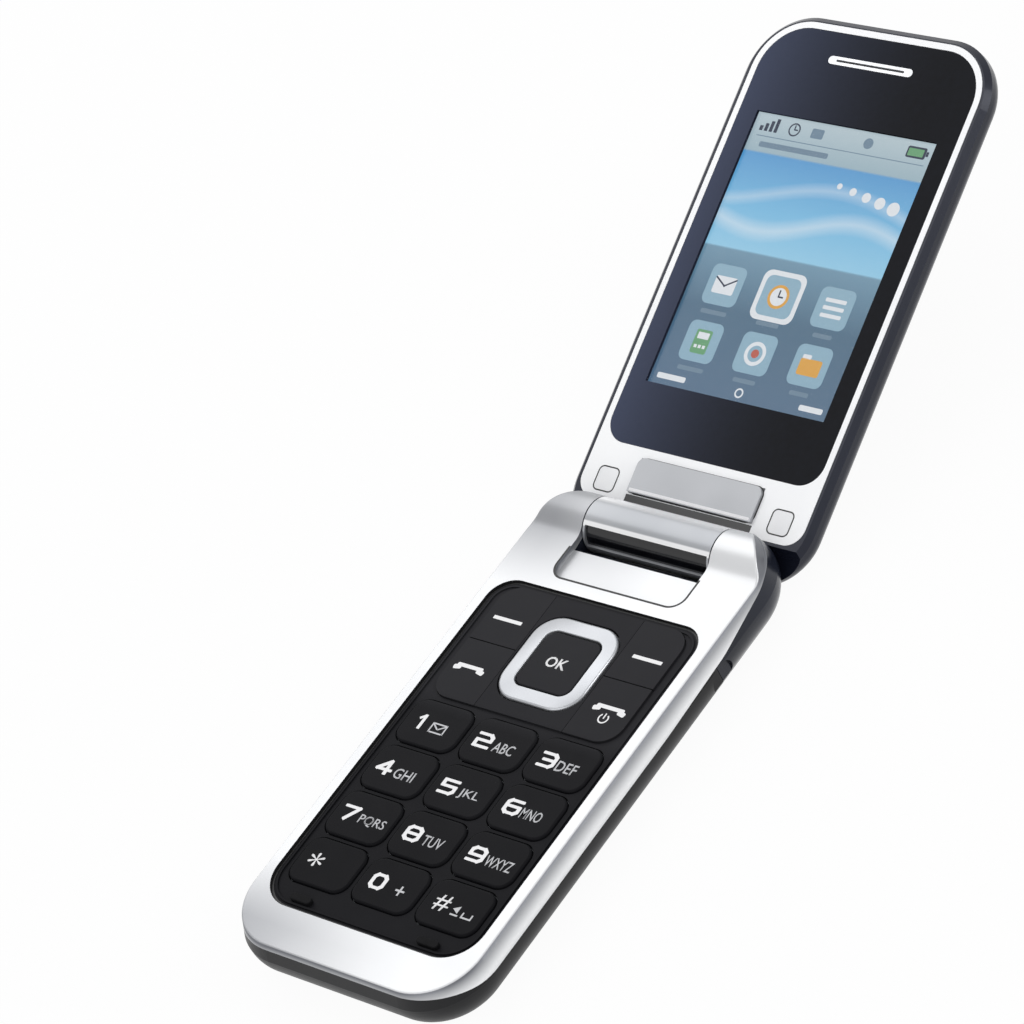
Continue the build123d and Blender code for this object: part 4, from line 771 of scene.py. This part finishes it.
# status strip: signal bars, a small dial, battery
row = artwork["statusRow"]
for step in range(4):
    drawBar("night", 0.7, 0.9 + 0.55 * step, 0, -17.6 + 1.05 * step, row - 0.7 + 0.27 * step)
draw("night", hoop(1.25 * mm, 0.28 * mm, thick, 24), -10.6, row)
drawBar("night", 0.26, 0.9, 0, -10.6, row + 0.4)
drawBar("night", 0.8, 0.26, 0, -10.25, row)
drawBar("slate", 2.6, 1.8, 0.3, -5.6, row)
draw("slate", disc(1.0 * mm, thick, 20), 5.4, row)
drawBar("night", 4.0, 2.1, 0.35, 15.6, row)
drawBar("leaf", 3.2, 1.4, 0.15, 15.5, row, 1)
drawBar("night", 0.5, 0.9, 0.1, 17.9, row)
drawBar("slate", 36.0, 0.16, 0, 0, row - 2.1)
drawBar("slate", 15.0, 1.0, 0.3, -9.2, row - 3.6)

# a row of soft dots in the picture
for step in range(5):
    draw("snow", disc((0.55 + 0.18 * step) * mm, thick, 24), 3.2 + 3.1 * step, 67.9 - 0.55 * step)

# six icons on rounded tiles, the upper middle one with a lit rim
size = artwork["iconSize"]
for row, s in enumerate(artwork["iconRows"]):
    for column, x in enumerate(artwork["iconColumns"]):
        if (row, column) == (0, 1):
            drawBar("snow", size + 1.8, size + 1.8, 1.6, x, s)
        drawBar("mist", size, size, 1.3, x, s, 1)
        drawBar("slate", 5.6 - 0.8 * column, 0.8, 0.3, x, s - artwork["labelDrop"])
icon = [(x, s) for s in artwork["iconRows"] for x in artwork["iconColumns"]]
# envelope
x, s = icon[0]
drawBar("snow", 4.6, 3.2, 0.4, x, s, 2)
for side in (-1, 1):
    drawBar("night", 2.9, 0.3, 0, x + side * 1.05, s + 0.55, 3, side * 32)
# clock
x, s = icon[1]
draw("amber", disc(2.2 * mm, thick, 32), x, s, 2)
draw("snow", disc(1.65 * mm, thick, 32), x, s, 3)
drawBar("night", 0.3, 1.3, 0, x, s + 0.6, 4)
drawBar("night", 1.1, 0.3, 0, x + 0.45, s, 4)
# list
x, s = icon[2]
for step in range(3):
    drawBar("snow", 4.4, 0.7, 0.2, x, s - 1.4 + 1.4 * step, 2)
# calculator
x, s = icon[3]
drawBar("leaf", 3.4, 4.4, 0.4, x, s, 2)
drawBar("snow", 2.4, 1.2, 0.1, x, s + 1.1, 3)
for step in range(3):
    drawBar("snow", 0.6, 0.6, 0, x - 0.9 + 0.9 * step, s - 0.9, 3)
# dial
x, s = icon[4]
draw("snow", hoop(2.2 * mm, 0.7 * mm, thick, 32), x, s, 2)
draw("brick", disc(0.8 * mm, thick, 24), x, s, 2)
# folder
x, s = icon[5]
drawBar("amber", 4.6, 3.0, 0.4, x, s - 0.3, 2)
drawBar("snow", 1.8, 0.8, 0.2, x - 1.2, s + 1.5, 2)

# soft-key words as plain bars along the foot of the display
drawBar("snow", 6.2, 1.0, 0.3, -14.9, artwork["footRow"], 1)
drawBar("snow", 5.0, 1.0, 0.3, 15.4, artwork["footRow"], 1)
draw("snow", hoop(0.9 * mm, 0.3 * mm, thick, 20), 0, artwork["footRow"], 1)
for name, shape in drawn.items():
    finished("display_" + name, shape, inks[name], "lid")
print("display artwork set")

# dark lines painted as shadow in the gaps round the plugs, the hinge plate, the keypad opening and the
# recess, and a bright lip painted as a highlight
shadowAndHighlightLines = {
    "recessX": 13.95,  # half the width of the recess in the rim
    "recessLow": 32.25,
    "recessHigh": 38.75,
    "recessCorner": 2.6,
    "recessLine": 0.38,
    "rim": 10.2,
    "printHeight": 0.012,
    "fineLine": 0.24,  # round the screw plugs and the hinge plate
    "fineHeight": 0.02,
    "plateS": 10.45,
    "plateSize": (27.35, 6.75, 1.7),  # across, along, corner
    "plugX": 19.0,
    "plugS": 8.6,
    "plugSize": (4.62, 4.62, 1.1),
    "lipSize": (26.2, 0.5, 0.2),
    "lipPlace": (0, 7.75, 0.65),
    "openX": 22.7,  # half the width of the keypad opening
    "openLow": -42.35,
    "openHigh": 29.55,
    "openLowCorner": 6.8,
    "openHighCorner": 4.8,
    "openBands": [
        # inset, width, foot, height
        (0.015, 0.03, 9.3, 0.87),  # up the rim's wall
        (0.09, 0.36, 9.655, 0.015),  # along its foot
    ],
}
# painted shadow colour for those dark lines
shadowLineBlack = flatInk("painted_shadow_black", srgb(12, 12, 14))


def frameLine(width, length, corner, line, height, farCorner=None):
    # a closed rounded outline; its far corners may have their own rounding
    shape = bmesh.new()
    bmesh.ops.create_grid(shape, x_segments=1, y_segments=1, size=0.5)
    bmesh.ops.scale(shape, vec=(width * mm, length * mm, 1), verts=shape.verts[:])
    near = [v for v in shape.verts if v.co.y < 0]
    far = [v for v in shape.verts if v.co.y > 0]
    for ends, radius in ((near, corner), (far, farCorner or corner)):
        bmesh.ops.bevel(shape, geom=ends, offset=radius * mm, offset_type="OFFSET",
                        affect="VERTICES", segments=8, profile=0.5, material=-1)
    core = shape.faces[:]
    bmesh.ops.inset_region(shape, faces=core, thickness=line * mm,
                           use_even_offset=True, use_boundary=True)
    bmesh.ops.delete(shape, geom=core, context="FACES")
    return thicken(shape, height * mm)


def lidShadowLine(name, size, x, s):
    shape = bmesh.new()
    pour(shape, frameLine(*size, shadowAndHighlightLines["fineLine"], shadowAndHighlightLines["fineHeight"]), lidFrame @ at(x, s))
    finished(name, shape, shadowLineBlack, "lid")


# painted shadow round the screw plugs and the hinge plate
lidShadowLine("plug_shadow_left", shadowAndHighlightLines["plugSize"], -shadowAndHighlightLines["plugX"], shadowAndHighlightLines["plugS"])
lidShadowLine("plug_shadow_right", shadowAndHighlightLines["plugSize"], shadowAndHighlightLines["plugX"], shadowAndHighlightLines["plugS"])
lidShadowLine("plate_shadow", shadowAndHighlightLines["plateSize"], 0, shadowAndHighlightLines["plateS"])

# painted highlight: a bright strip along the hinge plate's edge towards the barrel
shape = bmesh.new()
lip = tile(*[value * mm for value in shadowAndHighlightLines["lipSize"]], 0.015 * mm)
pour(shape, lip, lidFrame @ at(*shadowAndHighlightLines["lipPlace"]))
lipHighlight = flatInk("painted_lip_highlight", srgb(250, 250, 252), 0.0, 0.3)
finished("plate_lip_highlight", shape, lipHighlight, "lid")

# painted shadow: a dark band where the key web meets the silver rim, standing for the shade in the gap
shape = bmesh.new()
middle = (shadowAndHighlightLines["openHigh"] + shadowAndHighlightLines["openLow"]) / 2
for inset, line, foot, height in shadowAndHighlightLines["openBands"]:
    band = frameLine(2 * (shadowAndHighlightLines["openX"] - inset), shadowAndHighlightLines["openHigh"] - shadowAndHighlightLines["openLow"] - 2 * inset,
                     shadowAndHighlightLines["openLowCorner"] - inset, line, height, shadowAndHighlightLines["openHighCorner"] - inset)
    pour(shape, band, at(0, middle, foot))
finished("opening_shadow", shape, shadowLineBlack, "base")

# painted shadow: a fine dark line along the near edge and ends of the recess in the rim
edge = bmesh.new()
line, corner = shadowAndHighlightLines["recessLine"], shadowAndHighlightLines["recessCorner"]
low, rim = shadowAndHighlightLines["recessLow"], shadowAndHighlightLines["rim"]
run = 2 * (shadowAndHighlightLines["recessX"] - corner)
length = shadowAndHighlightLines["recessHigh"] - low - corner
height = shadowAndHighlightLines["printHeight"] * mm
pour(edge, tile(run * mm, line * mm, 0, height), at(0, low - line / 2, rim))
for side, start in ((-1, 180), (1, 270)):
    pour(edge, hoop((corner + line) * mm, line * mm, height, 12, 90, start),
         at(side * (shadowAndHighlightLines["recessX"] - corner), low + corner, rim))
    pour(edge, tile(line * mm, length * mm, 0, height),
         at(side * (shadowAndHighlightLines["recessX"] + line / 2), low + corner + length / 2, rim))
finished("recess_shadow", edge, shadowLineBlack, "base")
print("seams set")

# a lens behind the camera window, and a dark strip along the back of the barrel, painted shade for the
# gap there
back = {
    "lensRings": [(1.35, 0.3, 40), (2.2, 0.12, 48)],  # radius, width, segments
    "lensEye": 0.55,
    "lensHeight": 0.03,
    "gapX": 5.9,
    "gapRadius": 4.94,
    "gapFrom": 8.0,  # degrees up from straight back when the phone is shut
    "gapSweep": 75.0,
    "gapDepth": 0.05,
}


def lidBox(nodeName):
    into = lidFrame.inverted()
    places = [into @ vertex.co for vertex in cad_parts[nodeName].data.vertices]
    low = Vector(min(p[i] for p in places) for i in range(3))
    high = Vector(max(p[i] for p in places) for i in range(3))
    return low / mm, high / mm


low, high = lidBox("camera_window")
middle = (low + high) / 2
outside = low.z - 0.015
lensGrey = flatInk("lens_grey", srgb(120, 124, 132), 0.0, 0.25)
lensBlue = flatInk("lens_blue", srgb(34, 42, 70), 0.0, 0.12)
lensPlace = lidFrame @ at(middle.x, middle.y, outside)
height = back["lensHeight"] * mm
shape = bmesh.new()
for radius, width, segments in back["lensRings"]:
    pour(shape, hoop(radius * mm, width * mm, height, segments), lensPlace)
finished("camera_lens_ring", shape, lensGrey, "lid")
shape = bmesh.new()
pour(shape, disc(back["lensEye"] * mm, height, 32), lensPlace)
finished("camera_lens_eye", shape, lensBlue, "lid")

# painted shade: a dark strip on the back of the barrel where the gap lies in shade
slot = bmesh.new()
first = math.radians(back["gapFrom"])
radius = back["gapRadius"] * mm
ends = [slot.verts.new((side * back["gapX"] * mm, -radius * math.cos(first),
                        -radius * math.sin(first))) for side in (-1, 1)]
rim = slot.edges.new(ends)
bmesh.ops.spin(slot, geom=ends + [rim], cent=(0, 0, 0), axis=(1, 0, 0),
               angle=math.radians(back["gapSweep"]), steps=20, use_merge=False)
bmesh.ops.remove_doubles(slot, verts=slot.verts[:], dist=1e-7)
bmesh.ops.recalc_face_normals(slot, faces=slot.faces[:])
bmesh.ops.solidify(slot, geom=slot.faces[:], thickness=back["gapDepth"] * mm)
bmesh.ops.recalc_face_normals(slot, faces=slot.faces[:])
shape = bmesh.new()
pour(shape, slot, lidFrame @ at(0, 0, axisLift))
finished("barrel_slot", shape, skins["barrel_dark"], "lid")
print("camera lens and barrel slot set")

room = {
    "floorColour": srgb(246, 246, 247),
    "floorGlow": 0.95,  # the rest is left to the phone's shadow
    "worldLevel": 0.46,
    "lamps": [
        # name, place, size, power
        ("keyLamp", (-0.62, 0.46, 0.80), 1.1, 5.0),
        ("frontLamp", (0.10, -0.85, 0.60), 0.9, 2.6),
        ("sideLamp", (0.78, 0.44, 0.56), 0.45, 2.4),
    ],
    "aim": (0, 0.03, 0.02),
    "lens": 171.026,
    "eye": (499.381, -309.690, 538.988),
    "eyeTurn": (46.415, 21.942, 36.794),
}


def shownBackdrop(skin):
    # the pale backdrop is what the eye, metal and glass see; plain light on the phone stays level
    eye, gloss, glass = [skin.make("ShaderNodeLightPath", output="Is " + ray + " Ray")
                         for ray in ("Camera", "Glossy", "Transmission")]
    return (eye + gloss + glass).capped()


floorSkin = Skin("floor")
floorRay = shownBackdrop(floorSkin)
floorShade = floorSkin.make("ShaderNodeBsdfDiffuse", None, {"Color": room["floorColour"]})
floorGlow = floorSkin.make("ShaderNodeEmission", None, {"Color": (1, 1, 1, 1), "Strength": 1.0})
floorMix = floorSkin.make("ShaderNodeMixShader", None,
                          {"Fac": floorRay * room["floorGlow"], 1: floorShade, 2: floorGlow})
floorSkin.make("ShaderNodeOutputMaterial", None, {"Surface": floorMix})
floorShape = bmesh.new()
bmesh.ops.create_grid(floorShape, x_segments=1, y_segments=1, size=4.0)
floorMesh = bpy.data.meshes.new("floor")
floorShape.to_mesh(floorMesh)
floorShape.free()
floorMesh.materials.append(floorSkin.material)
floorPiece = bpy.data.objects.new("floor", floorMesh)
bpy.context.scene.collection.objects.link(floorPiece)

world = bpy.data.worlds.new("studio")
bpy.context.scene.world = world
sky = Skin("studio", world)
level = room["worldLevel"]
studio = sky.make("ShaderNodeBackground", None, {"Color": (level, level, level * 1.01, 1)})
backdrop = sky.make("ShaderNodeBackground", None, {"Color": (1, 1, 1, 1)})
either = sky.make("ShaderNodeMixShader", None, {"Fac": shownBackdrop(sky), 1: studio, 2: backdrop})
sky.make("ShaderNodeOutputWorld", None, {"Surface": either})

for name, place, size, power in room["lamps"]:
    lamp = bpy.data.lights.new(name, "AREA")
    lamp.shape = "SQUARE"
    lamp.size = size
    lamp.energy = power
    holder = bpy.data.objects.new(name, lamp)
    holder.location = place
    aim = Vector(room["aim"]) - Vector(place)
    holder.rotation_euler = aim.to_track_quat("-Z", "Y").to_euler()
    bpy.context.scene.collection.objects.link(holder)

lens = bpy.data.cameras.new("view")
lens.lens = room["lens"]
lens.sensor_width = 36.0
lens.clip_start = 0.01
lens.clip_end = 20.0
eye = bpy.data.objects.new("view", lens)
eye.location = Vector(room["eye"]) * mm
eye.rotation_euler = Euler([math.radians(turn) for turn in room["eyeTurn"]], "XYZ")
bpy.context.scene.collection.objects.link(eye)
bpy.context.scene.camera = eye
bpy.context.scene.view_settings.view_transform = "Standard"
print("room, lamps and camera set")
